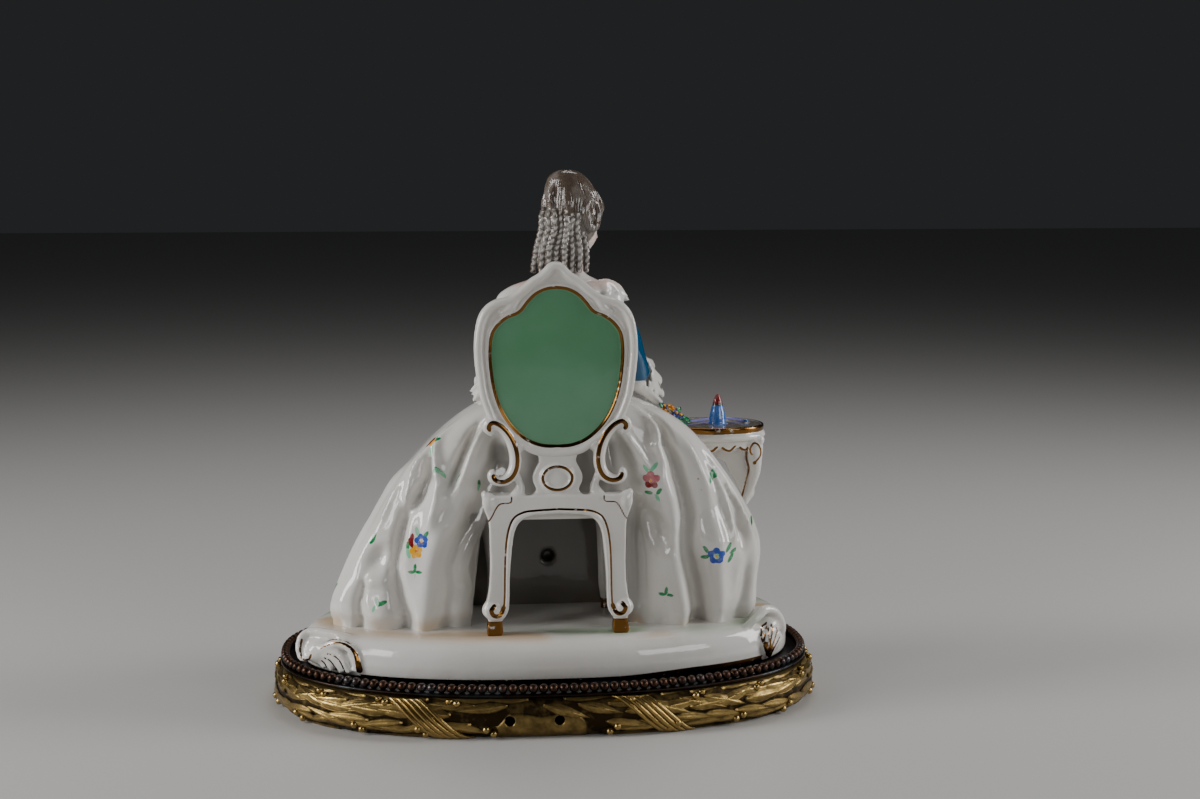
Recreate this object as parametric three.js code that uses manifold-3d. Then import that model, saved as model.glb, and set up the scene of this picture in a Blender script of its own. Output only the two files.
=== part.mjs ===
// Porcelain group of a rococo lady seated at a dressing table, on a gilt bronze base.
// Millimetres, +Z up. The group is laid out as seen from behind: +X is the sitter's right,
// +Y is her front. It is turned half a turn at the end, so that she faces -Y.
import * as THREE from 'three';
import { mergeVertices } from 'three/addons/utils/BufferGeometryUtils.js';
import Module from 'manifold-3d';

const wasm = await Module();
wasm.setup();

// Driving dimensions
const RING_HEIGHT = 21;
const TRAY_GAP = 0.3;
const TRAY_TOP = 23.2;
const BASE_TOP = 46;
const OVAL_POWER = 2.27;
const RING_POWER = 2.55;
const RING_HALF = [143, 91];
const BEAD_HALF = [146, 94.2];
const BEAD_COUNT = 146;
const BEAD_RADIUS = 2.5;
const BEAD_HEIGHT = 5.2;
const BASE_HALF = [138, 75];
const BASE_WAIST = 9;
const BASE_SIDES = 36;
const SKIRT_TOP = 178;
const SKIRT_CENTRE_Y = -20;
const SEAT_TOP = 122;
const CHAIR_X = 2.7;
const CHAIR_BACK_Y = -60;
const TABLE_TOP = 145.5;
const TABLE_CENTRE = [101, 28];
const NICHE_FRONT = 12;
const HOLE_RADIUS = 2.7;

const TURN = Math.PI * 2;
const rad = THREE.MathUtils.degToRad;
const vec = (x, y, z) => new THREE.Vector3(x, y, z);

// Closed meshes and solids

function geometryFrom(points, faces) {
  const geometry = new THREE.BufferGeometry();
  geometry.setAttribute('position', new THREE.Float32BufferAttribute(points.flatMap((p) => p.toArray()), 3));
  geometry.setIndex(faces.flat());
  return geometry;
}

function signedVolume(points, faces) {
  return faces.reduce((sum, [a, b, c]) => sum + points[a].dot(points[b].clone().cross(points[c])), 0);
}

// A skin over rings of points. Open lofts get a fan at each end.
function loft(rings, closed = false) {
  const size = rings[0].length;
  const points = rings.flat();
  const faces = [];
  const spans = closed ? rings.length : rings.length - 1;
  for (let r = 0; r < spans; r += 1) {
    const next = (r + 1) % rings.length;
    for (let i = 0; i < size; i += 1) {
      const j = (i + 1) % size;
      const [a, b, c, d] = [r * size + i, r * size + j, next * size + j, next * size + i];
      faces.push([a, b, c], [a, c, d]);
    }
  }
  if (!closed) {
    [[0, true], [rings.length - 1, false]].forEach(([r, flip]) => {
      const centre = rings[r].reduce((sum, p) => sum.add(p), vec(0, 0, 0)).divideScalar(size);
      points.push(centre);
      const middle = points.length - 1;
      for (let i = 0; i < size; i += 1) {
        const j = (i + 1) % size;
        const [a, b] = flip ? [r * size + j, r * size + i] : [r * size + i, r * size + j];
        faces.push([middle, a, b]);
      }
    });
  }
  if (signedVolume(points, faces) < 0) faces.forEach((face) => face.reverse());
  return geometryFrom(points, faces);
}

function toSolid(source) {
  const bare = source.clone();
  bare.deleteAttribute('normal');
  bare.deleteAttribute('uv');
  const merged = mergeVertices(bare, 1e-4);
  const mesh = new wasm.Mesh({
    numProp: 3,
    vertProperties: new Float32Array(merged.attributes.position.array),
    triVerts: new Uint32Array(merged.index.array),
  });
  return new wasm.Manifold(mesh);
}

function toGeometry(solid) {
  const mesh = solid.getMesh();
  const geometry = new THREE.BufferGeometry();
  geometry.setAttribute('position', new THREE.BufferAttribute(mesh.vertProperties, 3));
  geometry.setIndex(new THREE.BufferAttribute(mesh.triVerts, 1));
  return geometry;
}

const joined = (solids) => wasm.Manifold.union(solids);

// A round or oval tube through points. width and height give its half sizes along its length.
function limb(path, halfWidth, halfHeight, segments, sides = 8) {
  const curve = new THREE.CatmullRomCurve3(path);
  const frames = curve.computeFrenetFrames(segments);
  const rings = [];
  for (let s = 0; s <= segments; s += 1) {
    const t = s / segments;
    const centre = curve.getPointAt(t);
    const ring = [];
    for (let i = 0; i < sides; i += 1) {
      const angle = (i / sides) * TURN;
      ring.push(centre.clone()
        .addScaledVector(frames.normals[s], Math.cos(angle) * halfWidth(t))
        .addScaledVector(frames.binormals[s], Math.sin(angle) * halfHeight(t)));
    }
    rings.push(ring);
  }
  return toSolid(loft(rings));
}

const taper = (from, to) => (t) => from + (to - from) * t;
const bump = (x) => Math.exp(-x * x);
const ease = (value, low, high) => THREE.MathUtils.smoothstep(value, low, high);

// A plate cut from an outline of [x, z] points, standing upright between two depths.
function uprightPlate(outline, nearY, farY) {
  const shape = new THREE.Shape(outline.map(([x, z]) => new THREE.Vector2(x, z)));
  const plate = new THREE.ExtrudeGeometry(shape, { depth: farY - nearY, bevelEnabled: false });
  plate.rotateX(Math.PI / 2);
  plate.translate(0, farY, 0);
  return toSolid(plate);
}

// A slab cut from an outline of [x, y] points, between two heights.
function flatSlab(outline, low, high) {
  const shape = new THREE.Shape(outline.map(([x, y]) => new THREE.Vector2(x, y)));
  const slab = new THREE.ExtrudeGeometry(shape, { depth: high - low, bevelEnabled: false });
  slab.translate(0, 0, low);
  return toSolid(slab);
}

function ellipsoid(centre, half, turn = 0, across = 12, down = 8) {
  const ball = new THREE.SphereGeometry(1, across, down);
  ball.rotateX(Math.PI / 2);
  ball.scale(...half);
  ball.rotateZ(turn);
  ball.translate(...centre);
  return toSolid(ball);
}

// The right half of a symmetrical outline, from top to bottom, and its mirror image.
function mirrored(half, centre) {
  const right = half.map(([x, z]) => [centre + x, z]);
  const left = half.filter(([x]) => x > 0).map(([x, z]) => [centre - x, z]).reverse();
  return [...right, ...left];
}

// Superellipse oval, its points spaced evenly along its length

function ovalPoint(angle, halfX, halfY, power = OVAL_POWER) {
  const c = Math.cos(angle);
  const s = Math.sin(angle);
  return [
    halfX * Math.sign(c) * Math.abs(c) ** (2 / power),
    halfY * Math.sign(s) * Math.abs(s) ** (2 / power),
  ];
}

function evenOval(count, halfX, halfY, power = OVAL_POWER) {
  const fine = [];
  const steps = 2880;
  let length = 0;
  for (let i = 0; i <= steps; i += 1) {
    const [x, y] = ovalPoint((i / steps) * TURN, halfX, halfY, power);
    if (i > 0) length += Math.hypot(x - fine[i - 1].x, y - fine[i - 1].y);
    fine.push({ x, y, length });
  }
  const stations = [];
  let k = 0;
  for (let i = 0; i < count; i += 1) {
    const goal = (i / count) * length;
    while (fine[k + 1].length < goal) k += 1;
    const before = fine[(k + steps - 3) % steps];
    const after = fine[(k + 4) % steps];
    const run = Math.hypot(after.x - before.x, after.y - before.y);
    stations.push({
      x: fine[k].x,
      y: fine[k].y,
      outX: (after.y - before.y) / run,
      outY: -(after.x - before.x) / run,
      along: goal,
      total: length,
    });
  }
  return stations;
}

// A closed moulding around an oval. section gives its [outward, height] points at each station.
function ovalMoulding(stations, section) {
  const rings = stations.map((station, index) => section(station, index).map(([out, height]) => vec(
    station.x + station.outX * out,
    station.y + station.outY * out,
    height,
  )));
  return toSolid(loft(rings, true));
}

function ovalStack(count, halfX, halfY, levels, power = OVAL_POWER) {
  return toSolid(loft(levels.map(([height, inset]) => {
    const ring = [];
    for (let i = 0; i < count; i += 1) {
      const [x, y] = ovalPoint((i / count) * TURN, halfX - inset, halfY - inset, power);
      ring.push(vec(x, y, height));
    }
    return ring;
  })));
}

// Gilt bronze laurel wreath

const WREATH_STATIONS = 86;
const LEAF_LENGTH = 22;
const LEAF_RELIEF = 2.2;
const RIBBONS = [[-67, -1], [50, -1], [-67, 1], [50, 1]];
const RIBBON_HALF_WIDTH = 9;
const RIBBON_SLANT = 1.15;
const PLATE_SPAN = [-33, 15];
const DRILL_HOLES = [-26, 0];

function wreathRelief(station, height, row) {
  const back = station.y < 0;
  if (back && station.x > PLATE_SPAN[0] && station.x < PLATE_SPAN[1]) return 0.2;
  for (const [x, side] of RIBBONS) {
    const shifted = station.x - x + (height - RING_HEIGHT / 2) * RIBBON_SLANT;
    if (Math.sign(station.y) === side && Math.abs(shifted) < RIBBON_HALF_WIDTH) return LEAF_RELIEF;
  }
  const phase = (station.along / LEAF_LENGTH + row * 0.5) % 1;
  return LEAF_RELIEF * (phase < 0.75 ? phase / 0.75 : (1 - phase) / 0.25) - 0.3;
}

function wreath() {
  const profile = [[-6, 0], [4.5, 0], [8.4, 4.2], [9.6, 10.5], [8.2, 16.6], [4, RING_HEIGHT], [-6, RING_HEIGHT]];
  const ring = ovalMoulding(evenOval(WREATH_STATIONS, ...RING_HALF, RING_POWER), (station) => profile.map(
    ([out, height], row) => {
      const carved = row >= 2 && row <= 4;
      return [out + (carved ? wreathRelief(station, height, row) : 0), height];
    },
  ));
  const holes = DRILL_HOLES.map((x) => {
    const drill = new THREE.CylinderGeometry(HOLE_RADIUS, HOLE_RADIUS, 60, 12);
    drill.translate(x, -95, RING_HEIGHT / 2 - 0.5);
    return toSolid(drill);
  });
  return holes.reduce((solid, drill) => solid.subtract(drill), ring);
}

// Dark bronze tray with a beaded rim

function tray() {
  const low = RING_HEIGHT + TRAY_GAP;
  const plate = ovalStack(56, ...BEAD_HALF, [[low, 1.5], [low + 0.8, -2.7], [TRAY_TOP, -2.7]]);
  const beads = evenOval(BEAD_COUNT, ...BEAD_HALF).map((station) => {
    const bead = new THREE.ConeGeometry(BEAD_RADIUS, BEAD_HEIGHT, 4);
    bead.rotateX(Math.PI / 2);
    bead.rotateZ(Math.atan2(station.outY, station.outX));
    bead.translate(station.x, station.y, TRAY_TOP + BEAD_HEIGHT / 2 - 0.4);
    return toSolid(bead);
  });
  return wasm.Manifold.union([plate, ...beads]);
}

// Porcelain base with a scroll at its left end and a shell at its right end

const LEFT_LIP = [[-103, -47, 40.5], [-117, -41, 43], [-130, -35, 43], [-136, -36, 37.5], [-134, -38, 31.8]];
const RIGHT_LIP = [[106, -46, 43], [115, -42, 49.5], [123, -36, 50], [129, -33, 43.5], [130, -33, 36.5]];

// One level of the base. Its left end curves inwards.
function baseRing([height, inset]) {
  const ring = [];
  for (let i = 0; i < BASE_SIDES; i += 1) {
    const [x, y] = ovalPoint((i / BASE_SIDES) * TURN, BASE_HALF[0] - inset, BASE_HALF[1] - inset, 2.3);
    const waist = BASE_WAIST * bump((y - 20) / 24) * ease(-x, 50, 120);
    ring.push(vec(x + waist, y, height));
  }
  return ring;
}

function porcelainBase() {
  const low = TRAY_TOP + TRAY_GAP;
  const levels = [[low, 1.8], [27, 0.1], [34, 0.3], [40.5, 2.4], [44, 6], [BASE_TOP, 14]];
  const points = (stops) => stops.map((stop) => vec(...stop));
  return joined([
    toSolid(loft(levels.map(baseRing))),
    limb(points(LEFT_LIP), () => 3, () => 3, 7, 6),
    ellipsoid([-121, -31, 35.5], [16.5, 14, 10.5], rad(28), 12, 7),
    limb(points(RIGHT_LIP), taper(3, 4.6), taper(3, 4.6), 6, 6),
    ellipsoid([118.5, -30, 40], [11.5, 13.5, 11.5], rad(30), 12, 7),
  ]);
}

// Skirt: a dome whose outline is a rounded quarter curve on every side, with soft folds.
// Angles run from the back centre (0) to the sitter's right (90) and front (180).

const SKIRT_HALF_WIDTH = 119.5;
const SKIRT_FRONT = 76;
const SKIRT_BACK = 28;
const FOLDS = [
  // [[height share, angle] of each stop from hem to waist, half width in degrees, relief]
  // the valleys and ridges on her right
  [[[-0.2, 36], [0.04, 35.5], [0.2, 33], [0.3, 31], [0.37, 31], [0.46, 33.5], [0.62, 37], [0.76, 43],
    [0.84, 56], [0.96, 62]], 3.8, -8],
  [[[-0.2, 29], [0.05, 29], [0.2, 26.5], [0.3, 25.6], [0.49, 27], [0.63, 28.5], [0.76, 34.5],
    [0.85, 46], [0.94, 52]], 3.6, 3.6],
  [[[0.5, 24], [0.66, 24], [0.72, 22.5], [0.8, 20.5], [0.9, 19]], 2.8, 2.4],
  [[[-0.2, 14], [0.07, 14], [0.36, 13], [0.66, 15], [0.85, 17]], 3.8, -6],
  [[[0.28, 22.5], [0.41, 21], [0.53, 18]], 2.6, -5],
  [[[-0.2, 43], [0.1, 43], [0.3, 42], [0.5, 46], [0.62, 50], [0.73, 56], [0.84, 66]], 4.6, 2.8],
  [[[0.28, 52], [0.35, 53.5], [0.48, 56.5], [0.6, 60], [0.74, 68]], 2.6, 2.4],
  [[[0.42, 62], [0.55, 65], [0.66, 68], [0.78, 74]], 2.8, -3.6],
  [[[0.3, 69], [0.46, 68], [0.56, 72]], 2.6, 2.2],
  [[[-0.2, 56], [0.06, 56], [0.2, 61], [0.3, 64]], 4.4, -3],
  // the valleys and ridges on her left
  [[[-0.2, -22], [0.08, -22.4], [0.18, -22.2], [0.26, -24.5], [0.34, -24.2], [0.46, -21.5],
    [0.6, -20.5], [0.7, -20], [0.84, -25]], 3.2, -5.5],
  [[[-0.2, -15], [0.3, -15], [0.6, -15], [0.8, -16]], 4.6, -5],
  [[[-0.2, -29], [0.1, -29], [0.2, -30], [0.4, -31.5], [0.52, -33]], 4.6, 3],
  [[[0.36, -36], [0.48, -37.4], [0.54, -38], [0.62, -41.5], [0.7, -51.5], [0.8, -70],
    [0.88, -78]], 3.2, 3.6],
  [[[0.54, -34], [0.61, -34.8], [0.69, -36.5], [0.76, -39], [0.82, -43], [0.9, -48]], 3, -6.5],
  [[[0.52, -31], [0.61, -31.2], [0.67, -31.8], [0.73, -33.6], [0.81, -36], [0.92, -42]], 2.4, 3],
  [[[0.44, -48], [0.51, -49], [0.56, -49], [0.63, -51], [0.7, -60], [0.78, -68]], 3.8, -6.5],
  [[[0.42, -52], [0.51, -53.6], [0.59, -58.5], [0.68, -68], [0.8, -78]], 2.3, 2.2],
  [[[-0.2, -35], [0.06, -36], [0.1, -38.4], [0.18, -42], [0.25, -45.5], [0.37, -48.6], [0.46, -51.6],
    [0.56, -57]], 3, -5.5],
  [[[-0.2, -59], [0.05, -59], [0.12, -61.5], [0.27, -61.5]], 2.8, -4.5],
  [[[0.38, -67], [0.5, -68], [0.66, -73]], 2.4, 1.8],
];
const SWELLS = [
  // [angle, height share, half width in degrees, half height as a share, relief]
  [46, 0.33, 9, 0.08, 3.6],
  [46, 0.48, 8, 0.08, -2.6],
  [60, 0.4, 3.4, 0.07, -3],
  [-57, 0.295, 8, 0.06, -6],
  [-56, 0.205, 9, 0.026, 2.6],
  [-47, 0.07, 7, 0.07, 3],
  [-80, 0.1, 10, 0.1, 2.4],
  [78, 0.34, 11, 0.12, 2],
  [86, 0.1, 13, 0.13, -5.6],
  [92, 0.83, 14, 0.12, 3.4],
  [-91, 0.53, 16, 0.28, -2.2],
  [-100, 0.95, 14, 0.1, 2.5],
];
const FRONT_FOLDS = { first: 96, step: 21, count: 9 };
for (let i = 0; i < FRONT_FOLDS.count; i += 1) {
  const angle = FRONT_FOLDS.first + i * FRONT_FOLDS.step;
  const top = 180 - (180 - angle) * 0.94;
  FOLDS.push([[[-0.2, angle], [0.62 + 0.12 * (i % 2), top]], 5.5, -6]);
  FOLDS.push([[[-0.2, angle + 9], [0.5 + 0.1 * (i % 3), top + 8]], 4.5, 2.6]);
}
const HEM_TUCK = 2.5;

const quarter = (h, power) => Math.max(1 - h ** power, 0) ** (1 / power);

function turnedApart(degrees, centre) {
  const apart = Math.abs(degrees - centre) % 360;
  return Math.min(apart, 360 - apart);
}

// The angle of a fold at a height share, between its stops
function angleAt(stops, h) {
  const next = stops.findIndex(([share]) => share > h);
  if (next <= 0) return next === 0 ? stops[0][1] : stops[stops.length - 1][1];
  const [low, from] = stops[next - 1];
  const [high, to] = stops[next];
  return from + (to - from) * ((h - low) / (high - low));
}

function foldRelief(degrees, h) {
  const folds = FOLDS.reduce((sum, [stops, half, relief]) => {
    const low = stops[0][0];
    const high = stops[stops.length - 1][0];
    const ends = ease(h, low, low + 0.12) * (1 - ease(h, high - 0.12, high));
    return sum + relief * ends * bump(turnedApart(degrees, angleAt(stops, h)) / half);
  }, -HEM_TUCK * (1 - ease(h, 0, 0.07)));
  return SWELLS.reduce((sum, [angle, share, half, tall, relief]) => (
    sum + relief * bump(turnedApart(degrees, angle) / half) * bump((h - share) / tall)
  ), folds);
}

// A point of the skirt, its folds raised or sunk square to the skirt's plan.
function skirtPoint(degrees, h) {
  const height = BASE_TOP + (SKIRT_TOP - BASE_TOP) * h;
  const centreX = 1.5 + 6.5 * Math.min(h / 0.45, 1);
  const towardBack = Math.cos(rad(degrees));
  const towardRight = Math.sin(rad(degrees));
  const width = SKIRT_HALF_WIDTH * quarter(h, 1.9);
  const depth = towardBack > 0 ? SKIRT_BACK * quarter(h, 5) : SKIRT_FRONT * quarter(h, 2.6);
  const power = towardBack > 0 ? 2.8 : 2.2;
  const signed = (value, exponent) => Math.sign(value) * Math.abs(value) ** exponent;
  const outX = signed(towardRight, 2 - 2 / power) / width;
  const outY = -signed(towardBack, 2 - 2 / power) / depth;
  const lift = foldRelief(degrees, h) / Math.hypot(outX, outY);
  return vec(
    centreX + width * signed(towardRight, 2 / power) + outX * lift,
    SKIRT_CENTRE_Y - depth * signed(towardBack, 2 / power) + outY * lift,
    height,
  );
}

const SKIRT_LEVELS = [-0.03, 0.08, 0.16, 0.26, 0.36, 0.48, 0.6, 0.71, 0.82, 0.91, 0.98];
const SIDE_SPAN = 84;
const SIDE_STEP = 4;
const FRONT_STEPS = 10;

// Angles round the skirt, close together where the folds are and wider across the front
function skirtAngles() {
  const angles = [];
  for (let degrees = -SIDE_SPAN; degrees <= SIDE_SPAN; degrees += SIDE_STEP) angles.push(degrees);
  const gap = (360 - 2 * SIDE_SPAN) / FRONT_STEPS;
  for (let i = 1; i < FRONT_STEPS; i += 1) {
    const degrees = SIDE_SPAN + i * gap;
    angles.push(degrees > 180 ? degrees - 360 : degrees);
  }
  return angles;
}

function skirt() {
  const angles = skirtAngles();
  const rings = SKIRT_LEVELS.map((h) => angles.map((degrees) => {
    const point = skirtPoint(degrees, Math.max(h, 0));
    point.z = BASE_TOP + (SKIRT_TOP - BASE_TOP) * h;
    return point;
  }));
  return toSolid(loft(rings));
}

// The space below the seat, open towards the back
function niche() {
  const outline = [[-43, BASE_TOP], [42, BASE_TOP], [41, 95], [37, 108], [-33, 108], [-38, 95]];
  return uprightPlate(outline, -110, NICHE_FRONT);
}

function ventHole() {
  const drill = new THREE.CylinderGeometry(3.7, 3.7, 16, 12);
  drill.translate(3, NICHE_FRONT + 4, 74);
  return toSolid(drill);
}

// Chair

const BACK_OUTLINE = [
  [0, 246.8], [6, 242.6], [13, 238.6], [21.5, 231], [27, 227.8], [34.5, 225.4], [39.6, 220], [42.3, 213],
  [43.3, 204], [42.6, 190], [40.6, 176], [35.5, 163], [29, 155.5], [21, 150], [12, 143], [0, 141.5],
];
const PANEL_OUTLINE = [
  [0, 234], [8, 232.6], [14, 229], [19, 222.8], [25, 218.6], [31, 214.8], [34.6, 207.5], [35.8, 197],
  [34.6, 184], [31, 169.8], [25, 159], [15.5, 151], [0, 147.5],
];
const LEG_OUTLINE = [
  [0, SEAT_TOP], [36, SEAT_TOP], [39.4, 124], [39.6, 115], [36.8, 108], [36.4, 91], [37, 73], [40.2, 62],
  [39.6, 56], [37.4, 54.6], [38.2, BASE_TOP - 1], [30.2, BASE_TOP - 1], [30, 54.6], [27.6, 59],
  [26.4, 74], [24.4, 96], [22.6, 104.4], [18.6, 109.6], [0, 111.6],
];
const SPLAT_OUTLINE = [[0, 148], [14, 148], [9.6, 143], [10.5, 139.6], [14.3, 133], [13.4, 124], [17, 121], [0, 121]];

const SEAT_OUTLINE = [[-36, -56], [41, -56], [44, -6], [38, 4], [-32, 4], [-39, -6]];

function chairScroll(side) {
  const path = [[35.5, 157.5], [31.5, 161], [26, 157.5], [22.6, 150], [21.6, 141], [24.4, 134], [29.6, 129.8],
    [35, 130.4]];
  return limb(
    path.map(([x, z]) => vec(CHAIR_X + side * x, CHAIR_BACK_Y + 3, z)),
    () => 3.2, () => 3.2, 8, 5,
  );
}

function cabrioleLeg(x, y, top) {
  return limb(
    [vec(x, y, top), vec(x, y + 2.5, 96), vec(x, y + 1, 66), vec(x, y, BASE_TOP - 1)],
    taper(5.5, 3.6), taper(5.5, 3.6), 4, 5,
  );
}

function chair() {
  const frame = uprightPlate(mirrored(BACK_OUTLINE, CHAIR_X), CHAIR_BACK_Y, CHAIR_BACK_Y + 8);
  const recess = uprightPlate(mirrored(PANEL_OUTLINE, CHAIR_X), CHAIR_BACK_Y - 5, CHAIR_BACK_Y + 2);
  const legs = uprightPlate(mirrored(LEG_OUTLINE, CHAIR_X), CHAIR_BACK_Y - 1.5, CHAIR_BACK_Y + 7);
  const splat = uprightPlate(mirrored(SPLAT_OUTLINE, CHAIR_X), CHAIR_BACK_Y + 1, CHAIR_BACK_Y + 6);
  const medallion = ellipsoid([CHAIR_X, CHAIR_BACK_Y + 2, 131.3], [9.4, 3, 7.6], 0, 12, 6);
  const seat = flatSlab(SEAT_OUTLINE, 108, SEAT_TOP - 1);
  return joined([
    frame.subtract(recess), legs, splat, medallion, seat,
    chairScroll(1), chairScroll(-1),
    cabrioleLeg(-34, -8, 110), cabrioleLeg(34, -10, 110),
  ]);
}

// Lady

const TORSO = [
  // [height, centre x, centre y, half width, half depth]
  [160, 8, -26, 27, 18], [173, 8, -27, 20.5, 14], [185, 8, -26, 22, 15], [199, 7.5, -24, 26, 19],
  [209, 7, -24, 29.5, 18.5], [219, 7, -27, 34, 15], [227, 7, -28, 34, 12], [233, 7.5, -28, 25, 10],
  [238, 9, -27, 11, 9], [252, 12, -24, 8.2, 8.2],
];

// A closed body through ovals of [height, centre x, centre y, half width, half depth]
function stackedOvals(rows, sides, power) {
  return toSolid(loft(rows.map(([height, x, y, width, depth]) => {
    const ring = [];
    for (let i = 0; i < sides; i += 1) {
      const [dx, dy] = ovalPoint((i / sides) * TURN, width, depth, power);
      ring.push(vec(x + dx, y + dy, height));
    }
    return ring;
  })));
}

// A ruffle hanging from the elbow, its rim waved
function ruffle(centre, tip, halfTop, halfRim) {
  const sides = 12;
  const rings = [0, 0.5, 1].map((t) => {
    const middle = centre.clone().lerp(tip, t);
    const ring = [];
    for (let i = 0; i < sides; i += 1) {
      const angle = (i / sides) * TURN;
      const wave = i % 2 === 0 ? 1 : 1 - 0.22 * t;
      const reach = (halfTop + (halfRim - halfTop) * t) * wave;
      ring.push(vec(middle.x + Math.cos(angle) * reach, middle.y + Math.sin(angle) * reach, middle.z));
    }
    return ring;
  });
  return toSolid(loft(rings));
}

const RIGHT_ARM = [[32, -26, 221], [41, -24, 204], [48.3, -17, 186.5], [53.5, -2, 180], [57.5, 13, 174]];
const LEFT_ARM = [[-17, -26, 217], [-25, -23.5, 201], [-30.5, -15, 185.5], [-21, 5, 175], [-10, 20, 166]];
const RIGHT_HAND = [[57, 11, 174.6], [60.5, 23, 169.5], [63, 30, 166]];
const LEFT_HAND = [[-11, 18, 167], [2, 27, 161.5], [10, 31, 160]];

function arm(path, hand, cuff) {
  const stops = (list) => list.map((stop) => vec(...stop));
  return joined([
    limb(stops(path), (t) => (t < 0.55 ? 9.6 : 5), (t) => (t < 0.55 ? 9 : 5), 6, 8),
    limb(stops(hand), (t) => 3.2 + 1.8 * Math.sin(t * Math.PI), taper(3, 1.8), 3, 6),
    ruffle(vec(...cuff[0]), vec(...cuff[1]), 8.4, 11.5),
  ]);
}

const HEAD = { centre: [16.4, -22, 262.8], turn: rad(-58) };

function headPoint(side, forward, up) {
  const [cx, cy, cz] = HEAD.centre;
  const c = Math.cos(HEAD.turn);
  const s = Math.sin(HEAD.turn);
  return vec(cx + side * c - forward * s, cy + side * s + forward * c, cz + up);
}

const HAIR_ROWS = [
  // [height, centre x, centre y, half width, half depth]
  [252, 12, -25, 8, 8], [262, 13, -25.4, 13.6, 12.2], [268, 12.9, -25, 15.8, 13.6],
  [276, 12.8, -24.2, 16.6, 14.4], [284.7, 11.9, -24, 14.2, 13], [290.6, 10.9, -24.8, 10.4, 10.2],
  [294.6, 10.8, -25.8, 4.6, 5],
];

function head() {
  const at = (side, forward, up) => headPoint(side, forward, up).toArray();
  const skull = ellipsoid(at(0, 0, 0), [10.6, 12.4, 16.2], HEAD.turn, 12, 8);
  const nose = limb(
    [headPoint(0, 11, 2), headPoint(0, 14.2, -3.4), headPoint(0, 11, -5)],
    () => 1.5, () => 1.5, 3, 5,
  );
  const hair = stackedOvals(HAIR_ROWS, 12, 2.05);
  const neck = limb([vec(13, -24.5, 236), vec(13.8, -23.4, 256)], () => 7.4, () => 7.4, 1, 10);
  const roll = ellipsoid([24.2, -33.6, 266.8], [3.2, 5.4, 8.4], HEAD.turn, 8, 6);
  return joined([skull, nose, hair, neck, roll, ...ringlets()]);
}

// Twisted locks hanging down the back of the neck
const RINGLETS = { count: 8, topX: [-4.6, 18.6], endX: [-8.6, 20.4] };

function ringlets() {
  const locks = [];
  const mix = THREE.MathUtils.lerp;
  for (let i = 0; i < RINGLETS.count; i += 1) {
    const share = i / (RINGLETS.count - 1);
    const top = mix(...RINGLETS.topX, share);
    const end = mix(...RINGLETS.endX, share);
    const back = -34.4 - 4.6 * Math.sqrt(1 - 0.98 * (2 * share - 1) ** 2);
    locks.push(limb(
      [
        vec(top * 0.9 + 0.8, back + 4, 278),
        vec(top, back, 266),
        vec(mix(top, end, 0.55), back, 253),
        vec(end, back, 239.5),
      ],
      (t) => (Math.round(t * 4) % 2 ? 1.6 : 2.3), () => 2.2, 4, 4,
    ));
  }
  return locks;
}

// A posy of raised flowers lying on her lap
function posy() {
  const blooms = [[65, -17, 159.5], [70, -14, 156], [75, -17, 152.5], [80, -14, 148]];
  return joined(blooms.map((centre, i) => ellipsoid(centre, [4.4, 4.4, 3], i, 6, 4)));
}

// Dressing table, half oval, on three curved legs, with a scent bottle

const TABLE_HALF = [31.7, 33];
const TABLE_LEGS = [
  [[123.6, 17, 139], [123.4, 17, 119], [118.6, 19, 102], [113.6, 25, 72], [115, 28, BASE_TOP - 1]],
  [[100, 56, 138], [99, 56, 121], [94, 50, 97], [92, 47, 70], [94, 49, BASE_TOP - 1]],
  [[78, 14, 138], [78.4, 16, 121], [81, 23, 97], [81, 28, 70], [79, 26, BASE_TOP - 1]],
];

// The board behind the near leg, seen below the rail
const TABLE_PANEL = [
  [98, 134], [102.2, 128], [106.5, 125.4], [109.2, 119.5], [112.4, 114.7], [115.4, 108.3], [119, 99],
  [124, 106], [125.5, 134],
];
const legWidth = (t) => 4.9 - 2.3 * Math.min(t / 0.4, 1);

function tableOutline(inset) {
  const outline = [];
  const sides = 20;
  for (let i = 0; i < sides; i += 1) {
    const [x, y] = ovalPoint((i / sides) * TURN, TABLE_HALF[0] - inset, TABLE_HALF[1] - inset, 2.1);
    outline.push([TABLE_CENTRE[0] + x, TABLE_CENTRE[1] + y]);
  }
  return outline;
}

function bottle() {
  const profile = [[0, 0], [5, 0], [4.6, 3], [3.4, 11], [3.9, 11.6], [0.6, 17.6], [0, 18]];
  const body = new THREE.LatheGeometry(profile.map(([r, z]) => new THREE.Vector2(r, z)), 8);
  body.rotateX(Math.PI / 2);
  body.translate(103, 36, TABLE_TOP - 0.4);
  return toSolid(body);
}

function table() {
  return joined([
    flatSlab(tableOutline(0), TABLE_TOP - 7, TABLE_TOP),
    flatSlab(tableOutline(3), TABLE_TOP - 13, TABLE_TOP - 6),
    uprightPlate(TABLE_PANEL, 19, 23),
    ...TABLE_LEGS.map((stops) => limb(stops.map((stop) => vec(...stop)), legWidth, legWidth, 5, 5)),
    bottle(),
  ]);
}

// Colours: white glazed porcelain, dark patinated bronze, gilt bronze

const glaze = new THREE.MeshStandardMaterial({ color: 0xe9e6df, roughness: 0.12, metalness: 0 });
const darkBronze = new THREE.MeshStandardMaterial({ color: 0x3a2a20, roughness: 0.42, metalness: 0.9 });
const giltBronze = new THREE.MeshStandardMaterial({ color: 0x8d7338, roughness: 0.4, metalness: 1 });

function namedMesh(name, solid, material) {
  const mesh = new THREE.Mesh(toGeometry(solid), material);
  mesh.name = name;
  return mesh;
}

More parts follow.
